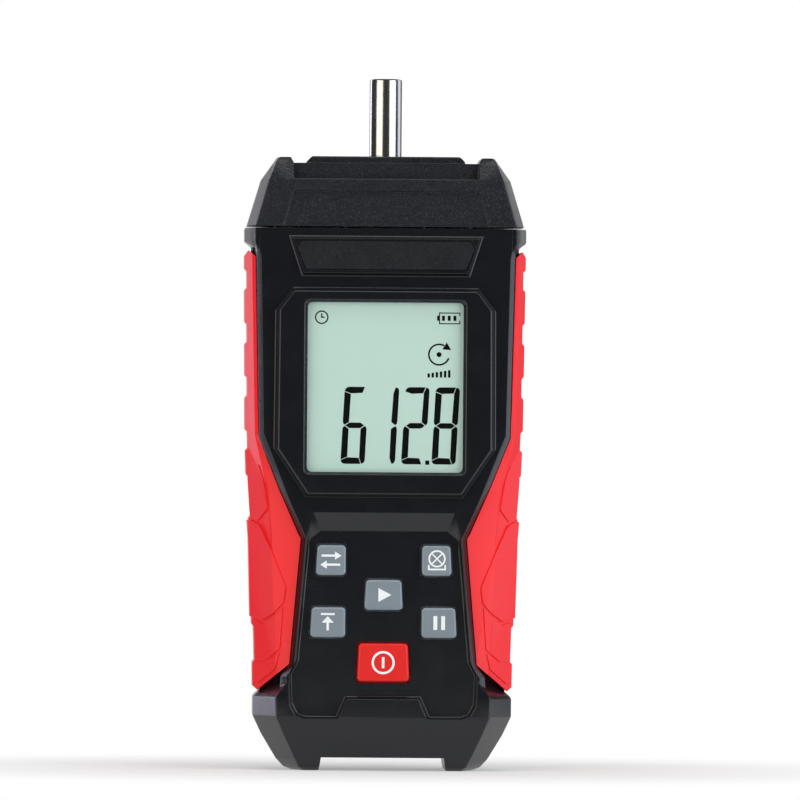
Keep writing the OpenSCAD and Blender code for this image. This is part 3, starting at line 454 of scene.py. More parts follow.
def surface(name, colour, rough, metallic=0.0, ior=1.5, grain=0.3, depth=0.01,
            patch=6.0, spread=0.05, stretch=(1, 1, 1), grain_glint=0.0, rim=0.0,
            fixed=None):
    """A finish with fine grain and slow changes of tone. Grain and patch are the widths of
    their patterns in millimetres, depth is the grain's height in millimetres, fleck is how
    much brighter than the colour the highest grains are painted, a painted glint of light on
    the grain, and rim how much brighter the edges are painted that the mesh names, a painted
    highlight on those edges."""
    material, tree = new_tree(name)
    if isinstance(colour, str):
        colour = linear(colour)
    place = add(tree, "ShaderNodeTexCoord").outputs["Object"]
    along = add(tree, "ShaderNodeMapping", {"Vector": place, "Scale": stretch})
    fine = add(tree, "ShaderNodeTexNoise", {
        "Vector": along, "Scale": 1 / (grain * MM), "Detail": 2.0})
    slow = add(tree, "ShaderNodeTexNoise", {
        "Vector": place, "Scale": 1 / (patch * MM), "Detail": 3.0})

    def towards(tone, factor, brightness):
        mixed = add(tree, "ShaderNodeMix", {
            "Factor": factor, 6: tone, 7: shaded(colour, brightness)}, data_type="RGBA")
        return mixed.outputs[2]

    tone = towards(shaded(colour, 1 - spread), slow, 1 + spread)
    # Painted glints: the highest grains are painted lighter, standing in for light that
    # sparkles on single grains
    if grain_glint:
        high = add(tree, "ShaderNodeMapRange", {
            "Value": fine, 1: 0.52, 2: 0.72, 3: 0.0, 4: 1.0})
        tone = towards(tone, high, 1 + grain_glint)
    # Painted highlight: the edges that the mesh names are painted lighter, where a rounded edge
    # would catch the lamps
    if rim:
        edge = add(tree, "ShaderNodeAttribute", attribute_name="rim")
        tone = towards(tone, edge.outputs["Fac"], 1 + rim)
    gloss = add(tree, "ShaderNodeMapRange", {"Value": slow, 3: rough - 0.05, 4: rough + 0.05})
    bump = add(tree, "ShaderNodeBump", {
        "Height": fine, "Distance": depth * MM, "Strength": 1.0})
    shader = add(tree, "ShaderNodeBsdfPrincipled", {
        "Base Color": tone, "Roughness": gloss,
        "Metallic": metallic, "IOR": ior, "Normal": bump, **(fixed or {})})
    add(tree, "ShaderNodeOutputMaterial", {"Surface": shader})
    return material


def materials():
    """Every finish by name."""
    tints = bpy.context.scene.tachometer_colours
    made = {}
    # Spark-eroded ABS: fine dull grain, broad soft highlights
    made["case"] = surface("moulded_black_abs", tints.case, 0.26, grain=0.35, depth=0.004)
    # Coarser etched ABS: single grains sparkle, drawn at twice the real 0.2 mm to show; the
    # sparkle is painted glints, the highest grains painted lighter
    made["nose"] = surface(
        "etched_black_abs", tints.nose, 0.32, grain=0.38, depth=0.12, grain_glint=2.6)
    # The same etching, shallower, on the brow's inlay, with the same painted glints
    made["brow"] = surface(
        "fine_etched_black_abs", tints.case, 0.4, grain=0.38, depth=0.05, grain_glint=2.0)
    # Thermoplastic rubber: saturated, soft highlight, faint skin texture
    made["grip"] = surface("moulded_red_rubber", tints.grip, 0.42, ior=1.45, grain=0.5,
                           depth=0.006, spread=0.03, fixed={"Specular IOR Level": 0.5})
    # Silicone rubber with a hard lacquer: satin shine; the rim of each key is painted lighter,
    # a painted highlight where the rounded edge catches the lamps
    made["key"] = surface(
        "lacquered_grey_silicone", tints.key, 0.3, ior=1.43, grain=0.4, depth=0.003, rim=0.5)
    made["power"] = surface(
        "lacquered_red_silicone", tints.power, 0.36, ior=1.43, grain=0.4, depth=0.003, rim=0.2)
    # Pad-printed ink: flat, slightly broken
    made["legend"] = surface("printed_white_ink", tints.legend, 0.5, grain=0.2, depth=0.002)
    # Liquid crystal ground behind glass; its faint glow is painted light that keeps it bright,
    # not a lit backlight
    made["display"] = surface("liquid_crystal_glass", tints.display, 0.3, ior=1.52,
                              grain=0.25, depth=0.0, patch=12, spread=0.015,
                              fixed={"Emission Color": list(tints.display) + [1.0],
                                     "Emission Strength": 0.18})
    # Switched segments: near black, flat
    made["segment"] = surface("switched_segments", "#040505", 0.7, depth=0.0, patch=3,
                              spread=0.2, fixed={"Specular IOR Level": 0.1})
    # Cast acrylic: colourless, nearly all light passes
    made["window"] = surface(
        "clear_acrylic", "#161A19", 0.07, ior=1.49, grain=9, depth=0.0, spread=0.01,
        fixed={"Alpha": 0.04})
    # Ground steel: bright, with fine turning marks round the shaft
    made["shaft"] = surface(
        "turned_steel", "#C4C4C4", 0.16, 1.0, grain=0.4, depth=0.03, patch=9, spread=0.06,
        stretch=(0.04, 0.04, 1))
    # Through-hardened bearing steel: mirror bright
    made["bearing"] = surface("polished_bearing_steel", "#CFD0D1", 0.12, 1.0, depth=0.001)
    # Zinc-plated screws: pale, slightly blotched
    made["screw"] = surface(
        "zinc_plated_steel", "#B9BEC4", 0.3, 1.0, grain=0.4, depth=0.004, patch=1.5, spread=0.1)
    # Pressed aluminium: dull, with rolling marks
    made["retainer"] = surface(
        "pressed_aluminium", "#A3A6A9", 0.38, 1.0, grain=0.4, depth=0.004, stretch=(1, 0.05, 1))
    # Black anodised disc
    made["disc"] = surface("black_anodised_aluminium", "#2B2D31", 0.35, 0.6, depth=0.002)
    # Moulded housings of the light barrier and the chips
    made["chip"] = surface("black_epoxy", "#141517", 0.5, grain=0.25)
    # Polyester ribbon with fine lengthwise conductors
    made["ribbon"] = surface("grey_polyester_ribbon", "#A9ADB1", 0.45, grain=1.0, depth=0.05,
                             stretch=(1, 0.02, 0.02))
    # Turned brass of the laser
    made["laser"] = surface(
        "turned_brass", "#B8934A", 0.25, 1.0, grain=0.4, depth=0.004, stretch=(0.04, 0.04, 1))
    # Smoked red acrylic over laser and receiver
    made["optic"] = surface("smoked_red_acrylic", "#3A0D12", 0.1, ior=1.49, grain=4,
                            depth=0.0, fixed={"Coat Weight": 0.5, "Coat Roughness": 0.03})
    # Layered conductive rubber of the display connectors
    made["zebra"] = surface("layered_pink_rubber", "#D58B8B", 0.6, grain=0.5, depth=0.02,
                            stretch=(1, 0.02, 0.02), spread=0.25, patch=0.6)
    # Milky diffuser behind the display
    made["backlight"] = surface("milky_acrylic", "#EEF1EF", 0.35, ior=1.49, depth=0.0)
    # Clear-grey silicone mat
    made["mat"] = surface("grey_silicone_mat", "#8E979C", 0.55, ior=1.43, depth=0.004)
    # Nickel-plated spring steel
    made["contact"] = surface("nickel_plated_steel", "#C3C1BA", 0.22, 1.0, depth=0.002)
    # Solder mask over glass-fibre board: glossy green
    made["board"] = surface(
        "green_solder_mask", "#1C5E3C", 0.3, grain=0.4, patch=2.0, spread=0.2)
    # Shrink sleeve of the cells
    made["cell"] = surface("printed_shrink_sleeve", "#2A4A74", 0.3, grain=2.0, patch=10)
    return made


# ---- Pieces ----

class Build:
    """What the operators share: each builds its pieces from the scene's values."""

    def execute(self, context):
        self.build(context.scene.tachometer_sizes, context.scene.tachometer_studio)
        return {"FINISHED"}


# Inlay of the brow: right half of its outline as distance from the middle and height, and
# the depths of its face and its back
BROW_OUTLINE = [(19.5, 122.4), (21.55, 127.45), (20.6, 129.2)]
BROW_DEPTHS = (-18.1, -17.85)


class TACHOMETER_OT_shells(Build, bpy.types.Operator):
    """Round the moulded edges of the case, the nose and the battery door"""
    bl_idname = "tachometer.shells"
    bl_label = "Moulded shells"

    def build(self, sizes, studio):
        for node, name, slot, finish in (
                ("front_case", "front_shell", "case_black", "case"),
                ("rear_case", "rear_shell", "case_black", "case"),
                ("battery_door", "door_shell", "case_black", "case"),
                ("nose_cap", "nose_shell", "nose_black", "nose")):
            piece = rounded(node_mesh(node), name, sizes.shell_edge,
                            hollows=node in ("front_case", "nose_cap"))
            dress(piece, body_of(node), slot, finish, node)
        inlay = Ink(0, 0, *BROW_DEPTHS)
        inlay.fill(BROW_OUTLINE + [(-x, z) for x, z in BROW_OUTLINE[::-1]])
        dress(finished("brow_inlay", inlay.bm), "case", "nose_black", "brow")


class TACHOMETER_OT_grips(Build, bpy.types.Operator):
    """Make the soft side grips"""
    bl_idname = "tachometer.grips"
    bl_label = "Soft grips"

    def build(self, sizes, studio):
        for side, sign in (("left", -1), ("right", 1)):
            node = side + "_grip"
            piece = rounded(node_mesh(node), side + "_soft_grip", sizes.grip_edge)
            dress(piece, body_of(node), "grip_red", "grip", node)
            for name, rise, wraps, outline in GRIP_PLATES:
                plate = grip_plate(node, f"{side}_grip_{name}", rise, wraps,
                                   [(sign * x, z) for x, z in outline])
                dress(plate, body_of(node), "grip_red", "grip")


# Raised plates of the lower half of a grip: name, rise in millimetres, whether it runs on
# round the side, and its outline from the front as distance from the middle and height
GRIP_PLATES = (
    ("upper_plate", 0.28, False, [(28.3, 63.9), (30.5, 60.9), (32.6, 61.9), (33.2, 71.4),
                                  (30.6, 74.6), (29.4, 71.0)]),
    ("chevron_plate", 0.40, True, [(36, 60.9), (32.0, 60.9), (30.2, 59.9), (26.9, 52.6),
                                   (23.7, 44.7), (24.2, 40.9), (26.5, 38.4), (29.1, 36.5),
                                   (31.2, 37.3), (36, 37.3)]),
    ("lower_plate", 0.28, False, [(24.4, 39.9), (25.1, 29.6), (28.5, 26.7), (30.9, 27.0),
                                  (31.1, 36.4), (29.1, 35.6), (26.3, 37.6)]),
    ("foot_plate", 0.28, False, [(25.2, 28.8), (28.5, 26.0), (31.1, 26.3), (31.2, 21.6),
                                 (30.3, 21.2), (26.1, 24.8)]),
)


def inside(point, outline):
    """Is this (x, z) point inside the outline?"""
    x, z = point
    odd = False
    for (x0, z0), (x1, z1) in zip(outline, outline[1:] + outline[:1]):
        if (z0 > z) != (z1 > z) and x < (x1 - x0) * (z - z0) / (z1 - z0) + x0:
            odd = not odd
    return odd


def grip_plate(node, name, rise, wraps, outline):
    """Plate that follows the outer face of a grip within an outline seen from the front."""
    sunk = 0.06  # how deep the plate starts in the grip
    back = 9.0   # depth at which a plate that runs on round the side ends
    bm = node_mesh(node)
    bmesh.ops.connect_verts_concave(bm, faces=bm.faces)
    bm.normal_update()
    steep = 0.05 if wraps else -0.25  # faces whose normals lean further back are left out
    hidden = [f for f in bm.faces if f.normal.y > steep or SURFACES.ray_cast(
        f.calc_center_median() + f.normal * AFLOAT, f.normal, 0.1)[0] is not None]
    bmesh.ops.delete(bm, geom=hidden, context="FACES")

    def cut(place, way, **kept):
        bmesh.ops.bisect_plane(bm, geom=bm.verts[:] + bm.edges[:] + bm.faces[:],
                               plane_co=place, plane_no=way, **kept)

    for (x0, z0), (x1, z1) in zip(outline, outline[1:] + outline[:1]):
        cut((x0 * MM, 0, z0 * MM), (z0 - z1, 0, x1 - x0))
    cut((0, back * MM, 0), (0, 1, 0), clear_outer=True)
    outer = [f for f in bm.faces if not inside(
        (f.calc_center_median().x / MM, f.calc_center_median().z / MM), outline)]
    bmesh.ops.delete(bm, geom=outer, context="FACES")
    merge_flat(bm)
    for vert in bm.verts:
        vert.co -= vert.normal * sunk * MM
    bm.normal_update()
    bmesh.ops.solidify(bm, geom=bm.faces[:], thickness=-(rise + sunk) * MM)
    bmesh.ops.recalc_face_normals(bm, faces=bm.faces)
    return rounded(bm, name, 0.2 * MM, least_angle=12.0)


def symbol_unit(ink):
    """Two arrows that point opposite ways: change of unit."""
    for side in (-1, 1):
        level = 1.1 * side
        ink.line([(-2.3 * side, level), (side, level)], 0.55)
        ink.fill([(side, level + 1.0), (2.6 * side, level), (side, level - 1.0)])


def symbol_light(ink):
    """Crossed circle on a foot: lamp."""
    middle, reach, gap = 0.5, 1.69 * math.sqrt(0.5), 0.13
    ink.line(arc(0, middle, 1.9), 0.42, closed=True)
    ink.line([(-reach, middle - reach), (reach, middle + reach)], 0.34)
    for side in (-1, 1):
        ink.line([(side * gap, middle - side * gap), (side * reach, middle - side * reach)],
                 0.34)
    ink.line([(-2.0, -1.0), (-2.0, -2.1), (2.0, -2.1), (2.0, -1.0)], 0.42)


def symbol_test(ink):
    """Triangle that points to the right: start a measurement."""
    ink.fill([(-1.3, -1.7), (1.9, 0), (-1.3, 1.7)])


def symbol_max(ink):
    """Arrow up to a bar: highest value."""
    ink.fill([(-1.5, -0.1), (1.5, -0.1), (0, 1.5)])
    ink.line([(0, -0.1), (0, -2.0)], 0.6)
    ink.line([(-1.7, 2.0), (1.7, 2.0)], 0.5)


def symbol_hold(ink):
    """Two upright bars: hold the reading."""
    for x in (-0.95, 0.95):
        ink.line([(x, -1.7), (x, 1.7)], 0.95)


def symbol_power(ink):
    """Ring around an upright bar: switch on."""
    ink.line(arc(0, 0, 2.55, steps=48), 0.55, closed=True)
    ink.line([(0, -1.35), (0, 1.35)], 0.62)


SYMBOLS = {"unit": symbol_unit, "light": symbol_light, "test": symbol_test,
           "max": symbol_max, "hold": symbol_hold, "power": symbol_power}


def moved_in(ring, t):
    """A closed outline moved inwards by t, for one that runs counter-clockwise."""
    return [p + mitre(ring[i - 1], p, ring[(i + 1) % len(ring)]) * t
            for i, p in enumerate(ring)]


def round_corners(ring, radius):
    """The four long sides of an outline, joined by arcs of this radius."""
    n, steps = len(ring), 7
    sides = sorted(sorted(range(n), key=lambda i: (ring[(i + 1) % n] - ring[i]).length)[-4:])
    made = []
    for k, i in enumerate(sides):
        j = sides[(k + 1) % 4]
        a, b, c, d = ring[i], ring[(i + 1) % n], ring[j], ring[(j + 1) % n]
        d1, d2 = (b - a).normalized(), (d - c).normalized()
        cross = d1.x * d2.y - d1.y * d2.x
        reach = ((c.x - a.x) * d2.y - (c.y - a.y) * d2.x) / cross
        point = a + d1 * reach
        turn = math.atan2(cross, d1.dot(d2))
        back = radius * math.tan(turn / 2)
        start = point - d1 * back
        centre = start + Vector((-d1.y, d1.x)) * radius
        first = math.atan2(start.y - centre.y, start.x - centre.x)
        made += [centre + radius * Vector((math.cos(first + turn * s / steps),
                                           math.sin(first + turn * s / steps)))
                 for s in range(steps + 1)]
    return made


def key_cap(node, name, radius, corner):
    """Key with a full rounded edge, a slightly hollow face and the flange that holds it."""
    low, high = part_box(node)
    face, back = low.y / MM, high.y / MM
    corners = {(round(v.co.x / MM, 4), round(v.co.z / MM, 4))
               for v in frame["nodes"][node].data.vertices
               if abs(v.co.y / MM - face - 0.4) < 0.02}
    middle = Vector(((low.x + high.x) / 2 / MM, (low.z + high.z) / 2 / MM))
    ring = round_corners(sorted((Vector(c) for c in corners),
                                key=lambda c: math.atan2(c.y - middle.y, c.x - middle.x)),
                         corner)
    steps, flange, seat = 6, 0.8, back - 0.7
    rows = [(-flange, back), (-flange, seat), (0.0, seat)]
    for k in range(steps + 1):
        a = math.pi / 2 * k / steps
        rows.append((radius * (1 - math.cos(a)), face + 1.15 * radius * (1 - math.sin(a))))
    bm = bmesh.new()
    # The rim layer holds how much lighter each vertex is painted: a painted highlight along the
    # key's rounded edge
    rim = bm.verts.layers.float.new("rim")
    rings = [[bm.verts.new((q.x * MM, y * MM, q.y * MM)) for q in moved_in(ring, t)]
             for t, y in rows]
    # The face dips by a few hundredths towards its middle
    for share, dip in ((0.8, 0.015), (0.45, 0.045)):
        rings.append([bm.verts.new(((middle.x + (v.co.x / MM - middle.x) * share) * MM,
                                    (face + dip) * MM,
                                    (middle.y + (v.co.z / MM - middle.y) * share) * MM))
                      for v in rings[steps + 3]])
    for near, far in zip(rings, rings[1:]):
        for i in range(len(ring)):
            j = (i + 1) % len(ring)
            bm.faces.new([near[i], near[j], far[j], far[i]])
    bm.faces.new(rings[0][::-1])
    bm.faces.new(rings[-1])
    # Painted highlight: full on the side wall, fading out over the rounded edge to nothing on
    # the face
    for k, ring in enumerate(rings[2:steps + 3]):
        for vert in ring:
            vert[rim] = max(0.0, 1.0 - (k / steps) ** 3)
    return even_shading(finished(name, bm), 50)


class TACHOMETER_OT_keys(Build, bpy.types.Operator):
    """Make the six keys and print their symbols"""
    bl_idname = "tachometer.keys"
    bl_label = "Keys"

    def build(self, sizes, studio):
        for name, symbol in SYMBOLS.items():
            node = name + "_key"
            slot, finish = (("key_red", "power") if name == "power" else ("key_grey", "key"))
            cap = key_cap(node, name + "_key_cap", sizes.key_edge / MM, sizes.key_corner / MM)
            dress(cap, body_of(node), slot, finish, node)
            low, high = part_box(node)
            face = low.y / MM
            ink = Ink((low.x + high.x) / 2 / MM, (low.z + high.z) / 2 / MM,
                      face - sizes.legend_rise / MM, face + 0.06)
            symbol(ink)
            dress(finished(name + "_key_legend", ink.bm), body_of(node), None, "legend")


# Segments of one digit on a field 180 wide and 575 high, strokes 47 wide, with mitred gaps
SEGMENTS = {
    "a": [(0, 543), (5, 558), (16, 570), (32, 575), (150, 575), (134, 530), (48, 526)],
    "b": [(154, 573), (139, 530), (135, 313), (166, 291), (177, 302), (180, 320),
          (180, 545), (176, 561), (166, 570)],
    "c": [(154, 2), (166, 5), (176, 14), (180, 30), (180, 255), (177, 273), (166, 284),
          (135, 262), (137, 45)],
    "d": [(0, 27), (5, 14), (16, 4), (32, 0), (150, 0), (133, 45), (48, 49)],
    "e": [(0, 32), (48, 53), (46, 262), (14, 284), (3, 272), (0, 255)],
    "f": [(0, 538), (0, 320), (3, 303), (14, 291), (46, 312), (48, 521)],
    "g": [(20, 287.5), (49, 308), (132, 308), (160, 287.5), (132, 267), (49, 267)],
}
LIT = {"0": "abcdef", "1": "bc", "2": "abged", "3": "abgcd", "4": "fgbc", "5": "afgcd",
       "6": "afgedc", "7": "abc", "8": "abcdefg", "9": "abcfgd"}


# The display's visible field: half its width, and how far its top lies under the glass's top
FIELD_HALF_WIDTH, FIELD_DROP = 19.0, 2.0


class TACHOMETER_OT_display(Build, bpy.types.Operator):
    """Draw the reading and the symbols on the display"""
    bl_idname = "tachometer.display"
    bl_label = "Display"

    def build(self, sizes, studio):
        low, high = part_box("display_glass")
        ink_t = 0.02
        depths = (low.y / MM - ink_t, low.y / MM)
        top = high.z / MM - FIELD_DROP
        right, foot = FIELD_HALF_WIDTH - 1.7, top - 39.4
        w, h = sizes.digit_width / MM, sizes.digit_height / MM
        pitch, slant = sizes.digit_pitch / MM, 0.052
        digits = Ink(0, foot, *depths)
        column = 0
        for sign in reversed(sizes.reading):
            x0 = right - w - column * pitch
            if sign == ".":
                dot = x0 + pitch - 1.0
                digits.box(dot - 0.5, dot + 0.5, -0.1, 0.95)
                continue
            for part in LIT[sign]:
                digits.fill([(x0 + px / 180 * w + slant * py / 575 * h, py / 575 * h)
                             for px, py in SEGMENTS[part]])
            column += 1
        dress(finished("display_digits", digits.bm), "case", None, "segment")
        marks = Ink(0, top, *depths)
        # Cell symbol with three bars, open at its right end
        marks.line([(18.1, -3.2), (18.1, -2.45), (13.15, -2.45), (13.15, -5.05),
                    (18.1, -5.05), (18.1, -4.3)], 0.26)
        marks.box(12.55, 13.02, -4.35, -3.1)
        for k in range(3):
            x = 14.1 + 1.4 * k
            marks.box(x - 0.36, x + 0.36, -4.35, -3.1)
        # Clock symbol in the upper left corner
        marks.line(arc(-15.6, -3.7, 1.5), 0.32, closed=True)
        marks.line([(-15.6, -2.75), (-15.6, -3.7), (-14.9, -3.7)], 0.3)
        # Arrow that turns about a dot: speed of rotation
        cx, cz, r = 13.1, -12.6, 2.5
        marks.line(arc(cx, cz, r, 60, 340), 0.42)
        marks.fill(arc(cx, cz, 0.62, steps=20))
        a = math.radians(58)
        out, ahead = Vector((math.cos(a), math.sin(a))), Vector((math.sin(a), -math.cos(a)))
        tip = Vector((cx, cz)) + out * r
        marks.fill([tip + out, tip + ahead * 1.9, tip - out])
        # Row of short bars under it: level of the signal
        for k in range(6):
            x = cx - r + k
            marks.box(x - 0.3, x + 0.3, -18.2, -17.2 + 0.16 * k)
        dress(finished("display_symbols", marks.bm), "case", None, "segment")


# Radii of the drive shaft, and the heights of its collar and of the neck above it
SHAFT_R, NECK_R, COLLAR_R = 4.0, 3.7, 5.0
COLLAR_FOOT, COLLAR_TOP, NECK_TOP = 146.35, 147.35, 150.0


class TACHOMETER_OT_shaft(Build, bpy.types.Operator):
    """Turn the drive shaft with its collar, chamfer and centre hole"""
    bl_idname = "tachometer.shaft"
    bl_label = "Drive shaft"

    def build(self, sizes, studio):
        foot, top = (round(corner.z / MM, 3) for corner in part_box("drive_shaft"))
        bm = bmesh.new()
        lathe(bm, [(0, foot), (SHAFT_R - 0.3, foot), (SHAFT_R, foot + 0.3),
                   (SHAFT_R, COLLAR_FOOT), (COLLAR_R, COLLAR_FOOT), (COLLAR_R, COLLAR_TOP),
                   (NECK_R, COLLAR_TOP), (NECK_R, NECK_TOP), (SHAFT_R, NECK_TOP),
                   (SHAFT_R, top - 0.55), (3.9, top - 0.25), (3.55, top - 0.02), (3.45, top),
                   (1.25, top), (1.05, top - 0.15), (0.5, top - 1.0), (0.5, top - 2.2),
                   (0, top - 2.5)])
        dress(finished("turned_shaft", bm, smooth=28), "shaft", "shaft_steel", "shaft",
              "drive_shaft")


def new_growth(name, sizes):
    """An empty Geometry Nodes tree with these named sizes, a seed and a finish."""
    tree = bpy.data.node_groups.new(name, "GeometryNodeTree")
    sockets = tree.interface
    sockets.new_socket("Geometry", in_out="INPUT", socket_type="NodeSocketGeometry")
    for label, value in sizes.items():
        sockets.new_socket(label, in_out="INPUT",
                           socket_type="NodeSocketFloat").default_value = value
    sockets.new_socket("Seed", in_out="INPUT", socket_type="NodeSocketInt")
    sockets.new_socket("Finish", in_out="INPUT", socket_type="NodeSocketMaterial")
    sockets.new_socket("Geometry", in_out="OUTPUT", socket_type="NodeSocketGeometry")
    return tree, add(tree, "NodeGroupInput").outputs


def end_growth(tree, instances, finish):
    """Ends a tree: real geometry with its finish."""
    real = add(tree, "GeometryNodeRealizeInstances", {"Geometry": instances})
    held = add(tree, "GeometryNodeSetMaterial", {"Geometry": real, "Material": finish})
    add(tree, "NodeGroupOutput", {0: held})


def xyz(tree, x=0.0, y=0.0, z=0.0):
    """A vector from its parts."""
    return add(tree, "ShaderNodeCombineXYZ", {"X": x, "Y": y, "Z": z})


def solid(tree, kind, sizes, lift, scale=(1.0, 1.0, 1.0)):
    """A basic solid of a growth tree, scaled and then lifted."""
    return add(tree, "GeometryNodeTransform", {
        "Geometry": add(tree, kind, sizes),
        "Translation": xyz(tree, z=lift), "Scale": xyz(tree, *scale)})


def screw_growth():
    """Tree that sets a pan-head screw with a cross recess at each point. It works in
    millimetres, because the cuts need the room, and scales each screw to metres."""
    tree, given = new_growth("cross_recess_screws", {
        "Head radius": 2.1, "Head height": 1.6, "Shank radius": 1.0, "Length": 8.0,
        "Recess width": 0.6})
    radius, height = given["Head radius"], given["Head height"]

    def share(value, factor):
        return calc(tree, "MULTIPLY", value, factor)

    # Head top at 0: a rim, and a low dome over it
    rim_depth, rim_place = share(height, 0.6), share(height, -0.7)
    rim = solid(tree, "GeometryNodeMeshCylinder", {
        "Vertices": 32, "Radius": radius, "Depth": rim_depth}, rim_place)
    wide = share(radius, 0.97)
    dome = solid(tree, "GeometryNodeMeshUVSphere", {
        "Segments": 32, "Rings": 16, "Radius": 1.0}, share(height, -0.45),
        (wide, wide, share(height, 0.45)))
    # Shank from inside the head to the point's end
    free = calc(tree, "SUBTRACT", given["Length"], rim_depth)
    reach = calc(tree, "MULTIPLY_ADD", free, -0.5, rim_place)
    shank = solid(tree, "GeometryNodeMeshCylinder", {
        "Vertices": 20, "Radius": given["Shank radius"], "Depth": free},
        calc(tree, "ADD", reach, share(height, 0.1)))
    body = add(tree, "GeometryNodeMeshBoolean", {1: [rim, dome, shank]}, operation="UNION")
    # Two crossed slots make the recess, one a little deeper so that their floors differ
    across, narrow = share(radius, 1.15), given["Recess width"]
    slots = [add(tree, "GeometryNodeMeshCube", {
        "Size": xyz(tree, x, y, share(height, depth))})
        for x, y, depth in ((across, narrow, 1.1), (narrow, across, 1.02))]
    screw = add(tree, "GeometryNodeMeshBoolean", {0: body, 1: slots}, operation="DIFFERENCE")
    screw = add(tree, "GeometryNodeMergeByDistance", {"Geometry": screw, "Distance": 0.0005})
    axis = add(tree, "GeometryNodeInputNamedAttribute", {"Name": "turn"},
               data_type="FLOAT_VECTOR")
    screws = add(tree, "GeometryNodeInstanceOnPoints", {
        "Points": given["Geometry"], "Instance": screw,
        "Rotation": axis.outputs["Attribute"], "Scale": (MM, MM, MM)})
    spin = add(tree, "FunctionNodeRandomValue", {
        2: 0.0, 3: math.pi / 2, "Seed": given["Seed"]}, data_type="FLOAT")
    driven = add(tree, "GeometryNodeRotateInstances", {
        "Instances": screws, "Local Space": True,
        "Rotation": xyz(tree, z=spin.outputs[1])})
    end_growth(tree, driven, given["Finish"])
    return tree


def rib_growth():
    """Tree that sets a row of lying ribs with rounded ends, one above the other."""
    tree, given = new_growth("lying_ribs", {
        "Count": 5.0, "Pitch": 0.0022, "Length": 0.017, "Rise": 0.0002, "Width": 0.0012})
    start, end = (xyz(tree, calc(tree, "MULTIPLY", given["Length"], side))
                  for side in (-0.5, 0.5))
    line = add(tree, "GeometryNodeCurvePrimitiveLine", {"Start": start, "End": end})
    line = add(tree, "GeometryNodeResampleCurve", {"Curve": line, "Count": 33})
    # The rib keeps its width and rounds off towards both ends, stopping just short of them
    along = add(tree, "GeometryNodeSplineParameter").outputs["Factor"]
    away = calc(tree, "ABSOLUTE", calc(tree, "MULTIPLY_ADD", along, 1.98, -0.99))
    left = calc(tree, "SUBTRACT", 1.0, calc(tree, "POWER", away, 16.0))
    line = add(tree, "GeometryNodeSetCurveRadius", {
        "Curve": line, "Radius": calc(tree, "SQRT", left)})
    wide = calc(tree, "MULTIPLY", given["Width"], 0.5)
    section = add(tree, "GeometryNodeCurvePrimitiveCircle", {"Resolution": 20, "Radius": wide})
    rib = add(tree, "GeometryNodeCurveToMesh", {
        "Curve": line, "Profile Curve": section, "Fill Caps": True})
    # Twice the rise deep, so that its lower half sits in the door
    deep = calc(tree, "MULTIPLY", calc(tree, "DIVIDE", given["Rise"], wide), 2.0)
    rib = add(tree, "GeometryNodeTransform", {
        "Geometry": rib, "Scale": xyz(tree, 1.0, deep, 1.0)})
    row = add(tree, "GeometryNodeMeshLine", {
        "Count": given["Count"], "Offset": xyz(tree, z=given["Pitch"])})
    ribs = add(tree, "GeometryNodeInstanceOnPoints", {"Points": row, "Instance": rib})
    end_growth(tree, ribs, given["Finish"])
    return tree


def grown(name, tree, mesh, values):
    """Plain mesh of what a tree grows from these points with these values."""
    piece = placed(name, mesh)
    growth = piece.modifiers.new("growth", "NODES")
    growth.node_group = tree
    for socket in tree.interface.items_tree:
        if socket.in_out == "INPUT" and socket.name in values:
            growth[socket.identifier] = values[socket.name]
    return even_shading(settle(piece), 40)


RIBS_FOOT = 57.5  # height of the lowest rib of the door, in millimetres


def solids_of(bm):
    """The separate solids of a mesh, each as the places of its vertices."""
    left = set(bm.verts)
    while left:
        places, border = [], [left.pop()]
        while border:
            vert = border.pop()
            places.append(vert.co.copy())
            near = {link.other_vert(vert) for link in vert.link_edges} & left
            left -= near
            border += near
        yield places


def screws_of(node):
    """Each screw of a node: centre of its head's top, the way the head points, head radius,
    head height, shank radius and length."""
    bm = opened(frame["nodes"][node].data)
    bmesh.ops.remove_doubles(bm, verts=bm.verts, dist=WELD)
    found = []
    for points in solids_of(bm):
        low, high = (Vector([pick(p[k] for p in points) for k in range(3)])
                     for pick in (min, max))
        axis = max(range(3), key=lambda k: high[k] - low[k])
        middle = (low + high) / 2
        apart = [math.hypot(*[p[k] - middle[k] for k in range(3) if k != axis]) for p in points]
        widest = max(apart)
        at_head = [p[axis] for p, r in zip(points, apart) if r > 0.9 * widest]
        narrow = max([r for p, r in zip(points, apart) if min(
            abs(p[axis] - a) for a in at_head) > 0.5 * MM] or [widest * 0.5])
        out = 1 if sum(at_head) / len(at_head) > middle[axis] else -1
        place, way = middle.copy(), Vector((0, 0, 0))
        place[axis], way[axis] = high[axis] if out > 0 else low[axis], out
        found.append((place, way, widest, max(abs(place[axis] - a) for a in at_head),
                      narrow, high[axis] - low[axis]))
    bm.free()
    return sorted(found, key=lambda s: tuple(round(c, 5) for c in s[0]))


